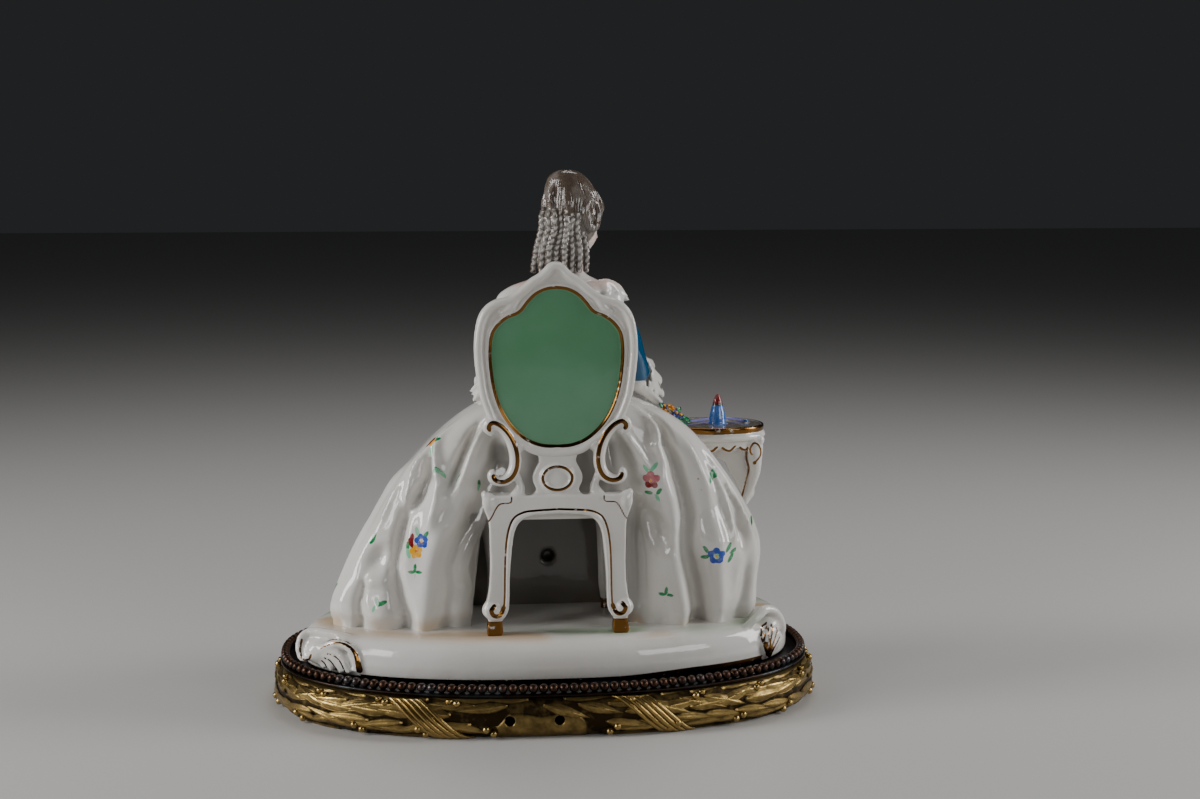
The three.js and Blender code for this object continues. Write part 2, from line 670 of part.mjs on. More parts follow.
function lady() {
  return [
    stackedOvals(TORSO, 14, 2.3),
    arm(RIGHT_ARM, RIGHT_HAND, [[49, -16, 189], [57, -8, 165]]),
    arm(LEFT_ARM, LEFT_HAND, [[-30, -15, 188], [-28, -5, 165]]),
    head(),
  ];
}

function porcelainGroup() {
  const dress = skirt().subtract(niche());
  return joined([dress, porcelainBase(), chair(), ...lady(), posy(), table()])
    .subtract(ventHole());
}

const figurine = new THREE.Group();
figurine.add(namedMesh('laurel_wreath_base', wreath(), giltBronze));
figurine.add(namedMesh('beaded_tray', tray(), darkBronze));
figurine.add(namedMesh('porcelain_group', porcelainGroup(), glaze));
figurine.rotation.z = Math.PI;

export default figurine;
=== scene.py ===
"""Porcelain lady at her dressing table on a gilt bronze foot: the visible finish.

Shapes are laid out in millimetres as seen from behind: x towards the sitter's right, y towards
her front, z up. place() turns them half a turn into the frame's metres, where she faces -Y.
"""
import math
import bpy
import numpy as np
from mathutils import Matrix


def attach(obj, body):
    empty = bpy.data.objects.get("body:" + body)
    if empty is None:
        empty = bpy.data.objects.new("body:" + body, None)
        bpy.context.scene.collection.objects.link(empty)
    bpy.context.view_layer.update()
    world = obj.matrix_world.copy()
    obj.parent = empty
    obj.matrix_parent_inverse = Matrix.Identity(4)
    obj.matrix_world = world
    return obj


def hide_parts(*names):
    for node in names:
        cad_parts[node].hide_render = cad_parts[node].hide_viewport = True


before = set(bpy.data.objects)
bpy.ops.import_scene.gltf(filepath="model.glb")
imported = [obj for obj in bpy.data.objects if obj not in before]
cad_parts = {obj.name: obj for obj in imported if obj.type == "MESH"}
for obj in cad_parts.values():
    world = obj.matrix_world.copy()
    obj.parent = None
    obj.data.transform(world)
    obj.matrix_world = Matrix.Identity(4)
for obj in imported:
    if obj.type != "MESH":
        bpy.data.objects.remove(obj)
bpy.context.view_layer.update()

TURNED = np.array([-0.001, -0.001, 0.001])
FULL = 2 * math.pi

# Heights and outlines shared with the solids

RING_HEIGHT = 21.0
TRAY_GAP = 0.3
TRAY_TOP = 23.2
BASE_TOP = 46.0
OVAL_POWER = 2.27
RING_HALF = (143.0, 91.0)
RING_POWER = 2.55
BEAD_HALF = (146.0, 94.2)
BEAD_COUNT = 146
BEAD_RADIUS = 2.5
BASE_HALF = (138.0, 75.0)
BASE_POWER = 2.3
SKIRT_TOP = 178.0
SKIRT_CENTRE_Y = -20.0
SEAT_TOP = 122.0
CHAIR_X = 2.7
TABLE_TOP = 147.2
TABLE_CENTRE = (101.0, 30.5)
NICHE_FRONT = 12.0


# Mesh making

def place(points):
    return np.asarray(points, float) * TURNED


def full_turn(count):
    """Evenly spaced angles of a full turn."""
    return np.linspace(0, FULL, count, endpoint=False)


def disc(centre, radius, count):
    angle = full_turn(count)
    return np.stack([centre[0] + radius * np.cos(angle), centre[1] + radius * np.sin(angle)], 1)


def at_height(outline, height):
    """A flat [x, y] outline lifted to a height."""
    return np.column_stack([outline, np.full(len(outline), height)])


def out_of(outline, reach=1):
    """Unit directions out of a closed flat outline, across each point's neighbours."""
    ahead = np.roll(outline, -reach, 0) - np.roll(outline, reach, 0)
    ahead /= np.linalg.norm(ahead, axis=1, keepdims=True)
    return np.stack([ahead[:, 1], -ahead[:, 0]], 1)


def unit(vector):
    vector = np.asarray(vector, float)
    return vector / np.linalg.norm(vector)


def add_object(name, points, faces):
    mesh = bpy.data.meshes.new(name)
    mesh.from_pydata(place(points).tolist(), [], [tuple(face) for face in faces])
    mesh.validate()
    mesh.update()
    piece = bpy.data.objects.new(name, mesh)
    bpy.context.scene.collection.objects.link(piece)
    return piece


def laid_out(piece):
    """The piece's vertices in layout millimetres."""
    mesh = piece.data
    points = np.zeros(len(mesh.vertices) * 3, np.float32)
    mesh.vertices.foreach_get("co", points)
    return points.reshape(-1, 3).astype(float) / TURNED


def signed_volume(points, triangles):
    a, b, c = (points[triangles[:, k]] - points.mean(0) for k in range(3))
    return np.einsum("ij,ij->i", a, np.cross(b, c)).sum()


def outward(points, faces):
    """The shape with its faces turned to point outwards."""
    points = np.asarray(points, float)
    fans = np.array([(face[0], face[i], face[i + 1]) for face in faces for i in range(1, len(face) - 1)])
    if signed_volume(points, fans) < 0:
        faces = [face[::-1] for face in faces]
    return points, faces


def skin(rings, loop=False):
    """A closed skin over rings of points. An open row of rings gets a fan at each end."""
    rings = np.asarray(rings, float)
    count, size = rings.shape[:2]
    points = list(rings.reshape(-1, 3))
    faces = []
    for r in range(count if loop else count - 1):
        here = r * size
        there = ((r + 1) % count) * size
        for i in range(size):
            j = (i + 1) % size
            faces.append([here + i, here + j, there + j, there + i])
    if not loop:
        for r in (0, count - 1):
            points.append(rings[r].mean(0))
            middle = len(points) - 1
            for i in range(size):
                j = (i + 1) % size
                pair = [r * size + j, r * size + i] if r == 0 else [r * size + i, r * size + j]
                faces.append([middle] + pair)
    return outward(points, faces)


def smooth_path(stops, count):
    """Evenly spaced points on a Catmull-Rom curve through the stops."""
    stops = np.asarray(stops, float)
    ends = np.vstack([2 * stops[0] - stops[1], stops, 2 * stops[-1] - stops[-2]])
    fine = []
    for k in range(len(stops) - 1):
        a, b, c, d = ends[k:k + 4]
        for t in np.linspace(0, 1, 24, endpoint=False):
            fine.append(0.5 * (2 * b + (c - a) * t + (2 * a - 5 * b + 4 * c - d) * t ** 2
                               + (3 * b - a - 3 * c + d) * t ** 3))
    fine.append(stops[-1])
    fine = np.array(fine)
    run = np.concatenate([[0], np.cumsum(np.linalg.norm(np.diff(fine, axis=0), axis=1))])
    goals = np.linspace(0, run[-1], count)
    return np.stack([np.interp(goals, run, fine[:, k]) for k in range(fine.shape[1])], 1)


def path_frames(path):
    """Tangents and two steady crosswise directions along a path."""
    tangents = np.gradient(path, axis=0)
    tangents /= np.linalg.norm(tangents, axis=1, keepdims=True)
    side = np.cross(tangents[0], [0.0, 0.0, 1.0])
    if np.linalg.norm(side) < 0.1:
        side = np.cross(tangents[0], [0.0, 1.0, 0.0])
    sides = []
    for tangent in tangents:
        side = side - tangent * np.dot(side, tangent)
        side = side / np.linalg.norm(side)
        sides.append(side)
    sides = np.array(sides)
    return tangents, sides, np.cross(tangents, sides)


def rod(stops, half, half_other=None, count=24, sides=16, turns=0.0):
    """A round or oval rod through the stops. half is one half size, or several along its length."""
    path = smooth_path(stops, count)
    _, side, over = path_frames(path)
    along = np.linspace(0, 1, count)
    halves = []
    for values in (half, half if half_other is None else half_other):
        values = np.atleast_1d(values)
        halves.append(np.interp(along, np.linspace(0, 1, len(values)), values))
    angle = full_turn(sides)
    rings = []
    for k in range(count):
        local = np.stack([np.cos(angle) * halves[0][k], np.sin(angle) * halves[1][k]], 1)
        twist = turns * FULL * along[k]
        spun = local @ np.array([[math.cos(twist), math.sin(twist)], [-math.sin(twist), math.cos(twist)]])
        rings.append(path[k] + spun[:, :1] * side[k] + spun[:, 1:] * over[k])
    return skin(rings)


def ball(centre, half, turn=0.0, across=32, down=20):
    """An ellipsoid with its own turn about the vertical, in radians."""
    angle = full_turn(across)
    rings = []
    for k in range(1, down):
        polar = math.pi * k / down
        x = np.cos(angle) * math.sin(polar) * half[0]
        y = np.sin(angle) * math.sin(polar) * half[1]
        turned = [x * math.cos(turn) - y * math.sin(turn), x * math.sin(turn) + y * math.cos(turn)]
        rings.append(at_height(np.stack(turned, 1), math.cos(polar) * half[2]) + np.asarray(centre, float))
    return skin(rings)


def flat_slab(outline, low, high):
    """A level plate. Its outline is [x, y], and it lies between two heights."""
    size = len(outline)
    faces = [list(range(size)), list(range(2 * size - 1, size - 1, -1))]
    for i in range(size):
        j = (i + 1) % size
        faces.append([i, i + size, j + size, j])
    return np.vstack([at_height(outline, low), at_height(outline, high)]), faces


def upright_plate(outline, near, far):
    """A plate standing upright. Its outline is [x, z], and it lies between two depths."""
    points, faces = flat_slab(outline, near, far)
    return points[:, [0, 2, 1]], faces


def drill(centre, radius, depths):
    """A cylinder to bore with from behind. Its centre is [x, z], and it lies between two depths."""
    return skin([at_height(disc(centre, radius, 40), depth)[:, [0, 2, 1]] for depth in depths])


def thick_patch(top, under):
    """A closed shell between two grids of points, each with rows and columns."""
    rows, columns = np.shape(top)[:2]
    total = rows * columns
    faces = []
    for r in range(rows - 1):
        for c in range(columns - 1):
            k = r * columns + c
            faces.append([k, k + 1, k + columns + 1, k + columns])
            faces.append([total + k, total + k + columns, total + k + columns + 1, total + k + 1])
    grid = np.arange(total).reshape(rows, columns)
    edge = np.concatenate([grid[:, 0], grid[-1, 1:], grid[-2::-1, -1], grid[0, -2:0:-1]]).tolist()
    for first, second in zip(edge, edge[1:] + edge[:1]):
        faces.append([first, first + total, second + total, second])
    return outward(np.vstack([np.reshape(top, (-1, 3)), np.reshape(under, (-1, 3))]), faces)


def mirrored(half, centre, count):
    """The right half of a symmetrical outline, top to bottom, smoothed, with its mirror image."""
    right = smooth_path(half, count)
    left = right[right[:, 0] > 0.01][::-1] * [-1, 1]
    return np.vstack([right, left]) + [centre, 0]


def evaluated(piece):
    """The piece's modifiers worked into its mesh."""
    graph = bpy.context.evaluated_depsgraph_get()
    mesh = bpy.data.meshes.new_from_object(piece.evaluated_get(graph))
    old = piece.data
    piece.modifiers.clear()
    piece.data = mesh
    bpy.data.meshes.remove(old)
    mesh.name = piece.name
    return piece


def merged_parts(parts):
    points = []
    faces = []
    start = 0
    for part_points, part_faces in parts:
        points.append(part_points)
        faces.extend([[index + start for index in face] for face in part_faces])
        start += len(part_points)
    return np.vstack(points), faces


def reskinned(piece, grain, rounding):
    """The piece under one new skin of small even faces, with its edges softened as glaze does."""
    remesh = piece.modifiers.new("skin", "REMESH")
    remesh.mode = "VOXEL"
    remesh.voxel_size = grain * 0.001
    soften = piece.modifiers.new("glaze_round", "SMOOTH")
    soften.factor = 0.5
    soften.iterations = rounding
    return evaluated(piece)


def fused(name, parts, grain, rounding):
    """One skin round overlapping shapes, as wet clay joins."""
    return reskinned(add_object(name, *merged_parts(parts)), grain, rounding)


def turn_out(piece):
    """Faces point outwards and shade smoothly."""
    mesh = piece.data
    mesh.calc_loop_triangles()
    corners = np.zeros(len(mesh.loop_triangles) * 3, np.int32)
    mesh.loop_triangles.foreach_get("vertices", corners)
    if signed_volume(laid_out(piece), corners.reshape(-1, 3)) < 0:
        mesh.flip_normals()
    mesh.shade_smooth()


def move_to(piece, points):
    """Set the piece's vertices in layout millimetres."""
    piece.data.vertices.foreach_set("co", place(points).astype(np.float32).ravel())
    piece.data.update()


def write_number(piece, name, values):
    layer = piece.data.attributes.new(name, "FLOAT", "POINT")
    layer.data.foreach_set("value", np.asarray(values, np.float32))


def finish_piece(piece, node, material):
    piece.data.materials.clear()
    piece.data.materials.append(material)
    turn_out(piece)
    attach(piece, "root")
    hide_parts(node)


def finish_porcelain(piece, coat, paint, tints=(), hair=False):
    finish_piece(piece, "porcelain_group", glazed_porcelain(coat, paint, tints, hair))


# Distances that the painter's lines and flowers are drawn from, in millimetres

FAR = 40.0


def line_distance(points, line):
    """Distance of 2-D or 3-D points from an open line of points."""
    nearest = np.full(len(points), FAR)
    for a, b in zip(line[:-1], line[1:]):
        run = b - a
        share = np.clip(((points - a) @ run) / max(run @ run, 1e-9), 0, 1)
        nearest = np.minimum(nearest, np.linalg.norm(points - a - share[:, None] * run, axis=1))
    return nearest


def painted_lines(points, lines):
    """Distance from the edges of brush strokes, each a line of points with its half width."""
    gap = np.full(len(points), FAR)
    for line, half in lines:
        gap = np.minimum(gap, line_distance(points, np.asarray(line, float)) - half)
    return gap


def inside_distance(points, outline):
    """Signed distance from a closed 2-D outline, negative inside."""
    closed = np.vstack([outline, outline[:1]])
    reach = line_distance(points, closed)
    inside = np.zeros(len(points), bool)
    for (x0, y0), (x1, y1) in zip(closed[:-1], closed[1:]):
        if y0 == y1:
            continue
        spans = (y0 > points[:, 1]) != (y1 > points[:, 1])
        crossing = x0 + (points[:, 1] - y0) * (x1 - x0) / (y1 - y0)
        inside ^= spans & (points[:, 0] < crossing)
    return np.where(inside, -reach, reach)


def bump(x):
    return np.exp(-np.square(x))


def steps(value, low, high):
    t = np.clip((value - low) / (high - low), 0, 1)
    return t * t * (3 - 2 * t)


def evaluate_noise(points, size, seed):
    """Soft smooth noise from a few seeded waves, between about -1 and 1."""
    rng = np.random.default_rng(seed)
    total = np.zeros(len(points))
    waves = 14
    for _ in range(waves):
        direction = rng.normal(size=3)
        direction /= np.linalg.norm(direction)
        stretch = rng.uniform(0.6, 1.6)
        total += np.sin(points @ direction * FULL / size * stretch + rng.uniform(0, FULL))
    return total / math.sqrt(waves)


# Materials

# the sockets of a mix node that hold its colours
MIX_A = 6
MIX_B = 7
MIX_RESULT = 2
# enamels and gold
COLOURS = {
    "leaf": "#14844a", "pale_leaf": "#7cc49c", "blue": "#2149ab", "yellow": "#e8a81c", "orange": "#dd7a14",
    "red": "#7c1015", "rose": "#b8686f", "ink": "#3c332b", "panel_green": "#588a66", "teal": "#00486c",
    # the table top's grey is partly marble and partly a painted reflection of dark surroundings
    "marble": "#6f6861", "lavender": "#8583c4", "bottle_blue": "#3f70bd", "gold": "#7a5528",
}
BRUSH_SOFTNESS = 0.14
# the white glaze, its greyer and its creamier patches, and the specks fired into it
GLAZE_TONES = ("#dcd9d4", "#d3cfc8", "#c8bfb0")
SPECK_TONE = "#7a5a36"
SPECK_CELLS_PER_METRE = 62.0
CELLS_WITHOUT_SPECK = 0.84
HAIR_TONES = ("#6b5d52", "#3a3029")
GILT_TONES = ("#2c2110", "#a08650")
GILT_STAIN = "#5f5030"
DARK_TONES = ("#221813", "#4a3326")
DARK_STAIN = "#4a545c"
UNEVEN_ENAMELS = {
    # colour: (size of its patches in metres, noise from and to, strength, second tone)
    "teal": (0.02, 0.5, 0.8, 0.5, "#04304a"), "panel_green": (0.035, 0.3, 0.75, 0.45, "#6d9c80"),
}
BASE_TINTS = (("green_mist", "#8fae86"), ("brown_mist", "#c6a880"))
# the skirt's airbrushed brown near the hem, and a dark grey-brown painted shade for its hollow and for the
# skirt beside and behind the chair
SKIRT_TINTS = (("brown_mist", "#c6a880"), ("dust", "#3d352c"))
SKIN_TINTS = (("blush", "#e8b5a2"),)


def linear(code):
    """An sRGB hex colour in the shader's linear light."""
    channels = [int(code[k:k + 2], 16) / 255 for k in (1, 3, 5)]
    return tuple(c / 12.92 if c <= 0.04045 else ((c + 0.055) / 1.055) ** 2.4 for c in channels) + (1.0,)


def add_node(tree, kind, inputs=None, **settings):
    node = tree.nodes.new(kind)
    for name, value in settings.items():
        setattr(node, name, value)
    for name, value in (inputs or {}).items():
        if isinstance(value, bpy.types.NodeSocket):
            tree.links.new(value, node.inputs[name])
        else:
            node.inputs[name].default_value = value
    return node


def new_material(name):
    material = bpy.data.materials.new(name)
    material.use_nodes = True
    material.node_tree.nodes.clear()
    return material, material.node_tree


def in_patches(tree, where, size, low, high, most=1.0, least=0.0):
    """A share that comes and goes in soft patches of about the size given in metres."""
    noise = add_node(tree, "ShaderNodeTexNoise", {"Vector": where, "Scale": 1 / size, "Detail": 4.0})
    share = add_node(tree, "ShaderNodeMapRange", {
        "Value": noise.outputs["Fac"], "From Min": low, "From Max": high, "To Min": least, "To Max": most,
    }, interpolation_type="SMOOTHSTEP")
    return share.outputs["Result"]


def layered(tree, colour, *layers):
    """Colours laid over the first in turn, each as strong as its share."""
    for share, over in layers:
        mix = add_node(tree, "ShaderNodeMix", {0: share, MIX_A: colour, MIX_B: over}, data_type="RGBA")
        colour = mix.outputs[MIX_RESULT]
    return colour


def painted_area(tree, attribute, edge):
    """One where the written distance is under the edge, falling to nothing over a soft width."""
    gap = add_node(tree, "ShaderNodeAttribute", attribute_name=attribute)
    area = add_node(tree, "ShaderNodeMapRange", {
        "Value": gap.outputs["Fac"], "From Min": edge + BRUSH_SOFTNESS, "From Max": edge - BRUSH_SOFTNESS,
    }, interpolation_type="SMOOTHSTEP")
    return area.outputs["Result"]


def rippled(tree, where, scale, detail, strength, distance):
    """Surface normals that soft noise makes uneven. The distance is in metres."""
    noise = add_node(tree, "ShaderNodeTexNoise", {"Vector": where, "Scale": scale, "Detail": detail})
    ripple = add_node(tree, "ShaderNodeBump", {
        "Height": noise.outputs["Fac"], "Strength": strength, "Distance": distance})
    return ripple.outputs["Normal"]


def surfaced(tree, settings):
    """The end of every material: its surface, from the settings given, and its output."""
    surface = add_node(tree, "ShaderNodeBsdfPrincipled", settings)
    add_node(tree, "ShaderNodeOutputMaterial", {"Surface": surface.outputs["BSDF"]})


def fired_specks(tree, where):
    """Rare brown specks that come up in the glaze during firing."""
    cells = add_node(tree, "ShaderNodeTexVoronoi", {"Vector": where, "Scale": SPECK_CELLS_PER_METRE})
    dot = add_node(tree, "ShaderNodeMapRange", {
        "Value": cells.outputs["Distance"], "From Min": 0.05, "From Max": 0.02, "To Max": 0.75})
    tone = add_node(tree, "ShaderNodeSeparateColor", {"Color": cells.outputs["Color"]})
    rare = add_node(tree, "ShaderNodeMath", {0: tone.outputs["Red"], 1: CELLS_WITHOUT_SPECK},
                    operation="GREATER_THAN")
    both = add_node(tree, "ShaderNodeMath", {0: dot.outputs["Result"], 1: rare.outputs[0]},
                    operation="MULTIPLY")
    return both.outputs[0]


def enamel_colour(tree, where, key, under):
    """One enamel, a little thin in places, so that the glaze under it shows."""
    size, low, high, most, code = UNEVEN_ENAMELS.get(key, (0.003, 0.45, 0.8, 0.3, None))
    thin = in_patches(tree, where, size, low, high, most)
    return layered(tree, linear(COLOURS[key]), (thin, linear(code) if code else under))


def glazed_porcelain(piece_name, paint, tints, hair):
    """White hard-paste porcelain under clear glaze, with overglaze enamels and burnished gold.

    paint is (attribute, edge in mm, colour); tints are (attribute, colour) thin washes.
    """
    material, tree = new_material("glazed_porcelain_" + piece_name)
    where = add_node(tree, "ShaderNodeTexCoord").outputs["Object"]
    colour = layered(
        tree, linear(GLAZE_TONES[0]),
        (in_patches(tree, where, 0.05, 0.35, 0.7), linear(GLAZE_TONES[1])),
        (in_patches(tree, where, 0.018, 0.6, 0.8, 0.35), linear(GLAZE_TONES[2])),
    )
    for attribute, code in tints:
        wash = add_node(tree, "ShaderNodeAttribute", attribute_name=attribute)
        colour = layered(tree, colour, (wash.outputs["Fac"], linear(code)))
    if hair:
        colour = hair_brushwork(tree, where, colour)
    colour = layered(tree, colour, (fired_specks(tree, where), linear(SPECK_TONE)))
    gilding = None
    for attribute, edge, key in paint:
        cover = painted_area(tree, attribute, edge)
        if key == "gold":
            gilding = cover
        else:
            colour = layered(tree, colour, (cover, enamel_colour(tree, where, key, colour)))
    roughness = in_patches(tree, where, 0.03, 0.3, 0.7, 0.1, 0.05)
    surface = {"Base Color": colour, "Roughness": roughness, "IOR": 1.58,
               "Normal": rippled(tree, where, 70.0, 2.0, 0.2, 0.0016)}
    if gilding is not None:
        worn = in_patches(tree, where, 0.004, 0.28, 0.4, 1.0, 0.25)
        gilding = add_node(tree, "ShaderNodeMath", {0: gilding, 1: worn}, operation="MULTIPLY").outputs[0]
        surface["Base Color"] = layered(tree, colour, (gilding, linear(COLOURS["gold"])))
        surface["Metallic"] = gilding
        surface["Roughness"] = add_node(tree, "ShaderNodeMix", {0: gilding, 2: roughness, 3: 0.2}).outputs[0]
    surfaced(tree, surface)
    return material


def hair_brushwork(tree, where, colour):
    """Grey-brown strokes that follow the combed hair, thinned down the crests of the ringlets as a painted
    highlight.
    """
    comb, groove, hair = (add_node(tree, "ShaderNodeAttribute", attribute_name=name).outputs["Fac"]
                          for name in ("comb", "groove", "hair"))
    noise = add_node(tree, "ShaderNodeTexNoise", {"Vector": where, "Scale": 170.0, "Detail": 3.0})
    line = comb
    for second, operation in ((noise.outputs["Fac"], "ADD"), (7.5, "MULTIPLY"), (0.0, "SINE")):
        line = add_node(tree, "ShaderNodeMath", {0: line, 1: second}, operation=operation).outputs[0]
    # painted highlight: the strokes thin to a third of their cover on the crests of the ringlets
    ridge_highlight = add_node(tree, "ShaderNodeMapRange", {
        "Value": groove, "From Min": -0.8, "From Max": -0.2, "To Min": 0.3})
    cover = ridge_highlight.outputs["Result"]
    for share in (hair, in_patches(tree, where, 0.008, 0.3, 0.6, 1.0, 0.84)):
        cover = add_node(tree, "ShaderNodeMath", {0: cover, 1: share}, operation="MULTIPLY").outputs[0]
    depth = add_node(tree, "ShaderNodeMapRange", {"Value": line, "From Min": -1.0})
    brown = layered(tree, linear(HAIR_TONES[0]), (depth.outputs["Result"], linear(HAIR_TONES[1])))
    return layered(tree, colour, (cover, brown))


def rubbed_metal(tree, where, height, patch, sway, low, high, tones):
    """Metal dark in its hollows and rubbed bright from one height to the other, unevenly.

    Returns its colour and the uneven height.
    """
    uneven = add_node(tree, "ShaderNodeMath", {
        0: height, 1: in_patches(tree, where, patch, 0.2, 0.8, sway, -sway)}, operation="ADD").outputs[0]
    rubbed = add_node(tree, "ShaderNodeMapRange", {"Value": uneven, "From Min": low, "From Max": high})
    return layered(tree, linear(tones[0]), (rubbed.outputs["Result"], linear(tones[1]))), uneven


def gilt_bronze():
    """Cast bronze with rubbed gilding: bright on the leaves, brown in the hollows."""
    material, tree = new_material("gilt_bronze")
    where = add_node(tree, "ShaderNodeTexCoord").outputs["Object"]
    raised = add_node(tree, "ShaderNodeAttribute", attribute_name="raised").outputs["Fac"]
    colour, uneven = rubbed_metal(tree, where, raised, 0.005, 0.5, 0.1, 1.5, GILT_TONES)
    colour = layered(tree, colour, (in_patches(tree, where, 0.018, 0.55, 0.8, 0.5), linear(GILT_STAIN)))
    rough = add_node(tree, "ShaderNodeMapRange", {
        "Value": uneven, "From Min": 0.2, "From Max": 2.0, "To Min": 0.5, "To Max": 0.24})
    surfaced(tree, {"Base Color": colour, "Metallic": 0.92, "Roughness": rough.outputs["Result"],
                    "Normal": rippled(tree, where, 620.0, 4.0, 0.3, 0.0005)})
    return material


def dark_bronze():
    """Cast bronze patinated nearly black, rubbed to copper brown on the bead tops."""
    material, tree = new_material("patinated_bronze")
    where = add_node(tree, "ShaderNodeTexCoord").outputs["Object"]
    height = add_node(tree, "ShaderNodeSeparateXYZ", {"Vector": where}).outputs["Z"]
    colour, _ = rubbed_metal(tree, where, height, 0.006, 0.0012, 0.0246, 0.0278, DARK_TONES)
    colour = layered(tree, colour, (in_patches(tree, where, 0.03, 0.52, 0.7, 0.45), linear(DARK_STAIN)))
    surfaced(tree, {"Base Color": colour, "Metallic": 0.85,
                    "Roughness": in_patches(tree, where, 0.01, 0.3, 0.7, 0.42, 0.26),
                    "Normal": rippled(tree, where, 500.0, 4.0, 0.25, 0.0005)})
    return material


# Bronze foot: a laurel wreath bound with ribbons

RING_MIDDLE = 10.5
RING_ARC = 10.2
RING_SWELL = 7.4
RING_STEP_IN = 0.6
RING_INSIDE = -6.0
FACE_ARCS = (-14.6, 13.4)
LEAF_LENGTH = 27.0
LEAF_HALF_WIDTH = 3.0
LEAF_RISE = 1.5
LEAF_ROWS = ((-11.6, 0.0), (-6.9, 0.45), (-2.0, 0.13), (2.8, 0.63), (7.6, 0.3), (11.6, 0.8))
LEAF_SPACING = 17.0
BERRY_RADIUS = 2.0
RIBBONS = ((-67.0, -1), (50.0, -1), (-67.0, 1), (50.0, 1))
RIBBON_SLANT = 1.15
RIBBON_STRANDS = (-5.2, -2.6, 0.0, 2.6, 5.2)
PLATE_SPAN = (-33.0, 15.0)
HOLE_PLACES = (-26.0, 0.0)
HOLE_HEIGHT = 10.0
HOLE_RADIUS = 2.7
HOLE_DEPTHS = (-112.0, -80.0)
WREATH_LIMITS = ((-153.6, -100.6, 0.1), (153.6, 102.1, RING_HEIGHT))
PLATE_TOP_ARC = 3.6
PLATE_LOW_ARC = -14.2


def oval_points(count, half, power, inset=0.0):
    angle = full_turn(count)
    c = np.cos(angle)
    s = np.sin(angle)
    x = (half[0] - inset) * np.sign(c) * np.abs(c) ** (2 / power)
    y = (half[1] - inset) * np.sign(s) * np.abs(s) ** (2 / power)
    return np.stack([x, y], 1)


class Oval:
    """Positions and outward directions at any distance along a superellipse."""

    def __init__(self, half, power):
        ring = oval_points(5760, half, power)
        step = np.linalg.norm(np.roll(ring, -1, 0) - ring, axis=1)
        out = out_of(ring, 3)
        self.run = np.concatenate([[0], np.cumsum(step)])
        self.total = self.run[-1]
        self.ring = np.vstack([ring, ring[:1]])
        self.out = np.vstack([out, out[:1]])

    def at(self, along):
        along = np.mod(along, self.total)
        return [np.stack([np.interp(along, self.run, values[:, k]) for k in (0, 1)], -1)
                for values in (self.ring, self.out)]

    def along_of(self, x, side):
        """Distance along the oval where it passes x, on its front (1) or back (-1)."""
        chosen = np.where(np.sign(self.ring[:-1, 1]) == side)[0]
        return self.run[chosen[np.argmin(np.abs(self.ring[chosen, 0] - x))]]


RING_OVAL = Oval(RING_HALF, RING_POWER)


def on_ring(along, arc, rise):
    """A point of the rounded outer face: arc is the distance up the face from its middle."""
    where, out = RING_OVAL.at(along)
    angle = np.asarray(arc) / RING_ARC
    reach = RING_STEP_IN + RING_SWELL * np.cos(angle) + rise * np.cos(angle)
    height = RING_MIDDLE + RING_ARC * np.sin(angle) + rise * np.sin(angle)
    height = np.clip(height, 0.15, RING_HEIGHT)
    return np.concatenate([where + out * reach[..., None], height[..., None]], -1)


def ring_core():
    face = np.linspace(-1.45, 1.3, 19)
    reach = np.concatenate([[RING_INSIDE], RING_STEP_IN + RING_SWELL * np.cos(face), [RING_INSIDE]])
    height = RING_MIDDLE + (RING_ARC + 0.4) * np.sin(face[1:-1])
    height = np.concatenate([[0, 0], np.clip(height, 0, RING_HEIGHT), [RING_HEIGHT, RING_HEIGHT]])
    where, out = RING_OVAL.at(np.linspace(0, RING_OVAL.total, 520, endpoint=False))
    rings = [np.stack([x + out_x * reach, y + out_y * reach, height], 1)
             for (x, y), (out_x, out_y) in zip(where, out)]
    return skin(rings, loop=True)


def laurel_leaf(along, arc, heading, lean, length, rng):
    """One leaf with a raised midrib and curled edges, laid on the ring's face."""
    a = np.linspace(0, 1, 14)[:, None]
    b = np.linspace(-1, 1, 9)[None, :]
    width = LEAF_HALF_WIDTH * np.sin(math.pi * np.clip(a, 0.02, 0.985) ** 0.72)
    curl = rng.uniform(0.1, 0.6)
    rise = 0.2 + LEAF_RISE * np.sin(math.pi * np.clip(a * 0.86 + 0.12, 0, 1)) * (1 - 0.85 * np.abs(b) ** 2.2)
    rise = rise - 0.55 * bump((np.abs(b) - 0.38) / 0.2) * np.sin(math.pi * a)
    rise = rise + 0.35 * bump(b / 0.16) * (1 - a)
    rise = rise + curl * a ** 3 + 0.1 * np.sin(a * 34 + 9 * np.abs(b))
    x = a * length
    y = b * width
    s = along + heading * (x * math.cos(lean) - y * math.sin(lean))
    t = np.clip(arc + x * math.sin(lean) + y * math.cos(lean), *FACE_ARCS)
    return thick_patch(on_ring(s, t, rise), on_ring(s, t, np.full_like(rise, -1.0)))


def wreath_leaves(rng):
    plate_low, plate_high = (RING_OVAL.along_of(x, -1) for x in PLATE_SPAN)
    plate_middle = (plate_low + plate_high) / 2
    leaves = []
    berries = []
    count = int(RING_OVAL.total / LEAF_SPACING)
    for row, (arc, shift) in enumerate(LEAF_ROWS):
        for k in range(count):
            along = (k + shift) / count * RING_OVAL.total + rng.uniform(-2, 2)
            gap = (along - plate_middle + RING_OVAL.total / 2) % RING_OVAL.total - RING_OVAL.total / 2
            heading = 1 if gap > 0 else -1
            length = LEAF_LENGTH * rng.uniform(0.85, 1.1)
            near_plate = abs(gap) < (plate_high - plate_low) / 2 + 4
            if near_plate and arc < PLATE_TOP_ARC + 1.5:
                continue
            lean = rng.uniform(-0.16, 0.16) + (0.14 if row % 2 else -0.14)
            leaves.append(laurel_leaf(along, arc, heading, lean, length, rng))
            if row in (1, 4) and k % 2 == row % 2 and not near_plate:
                berries.append((along - heading * 1.0, arc + 2.4))
                berries.append((along - heading * 4.8, arc + rng.uniform(-0.6, 0.8)))
    return leaves, berries


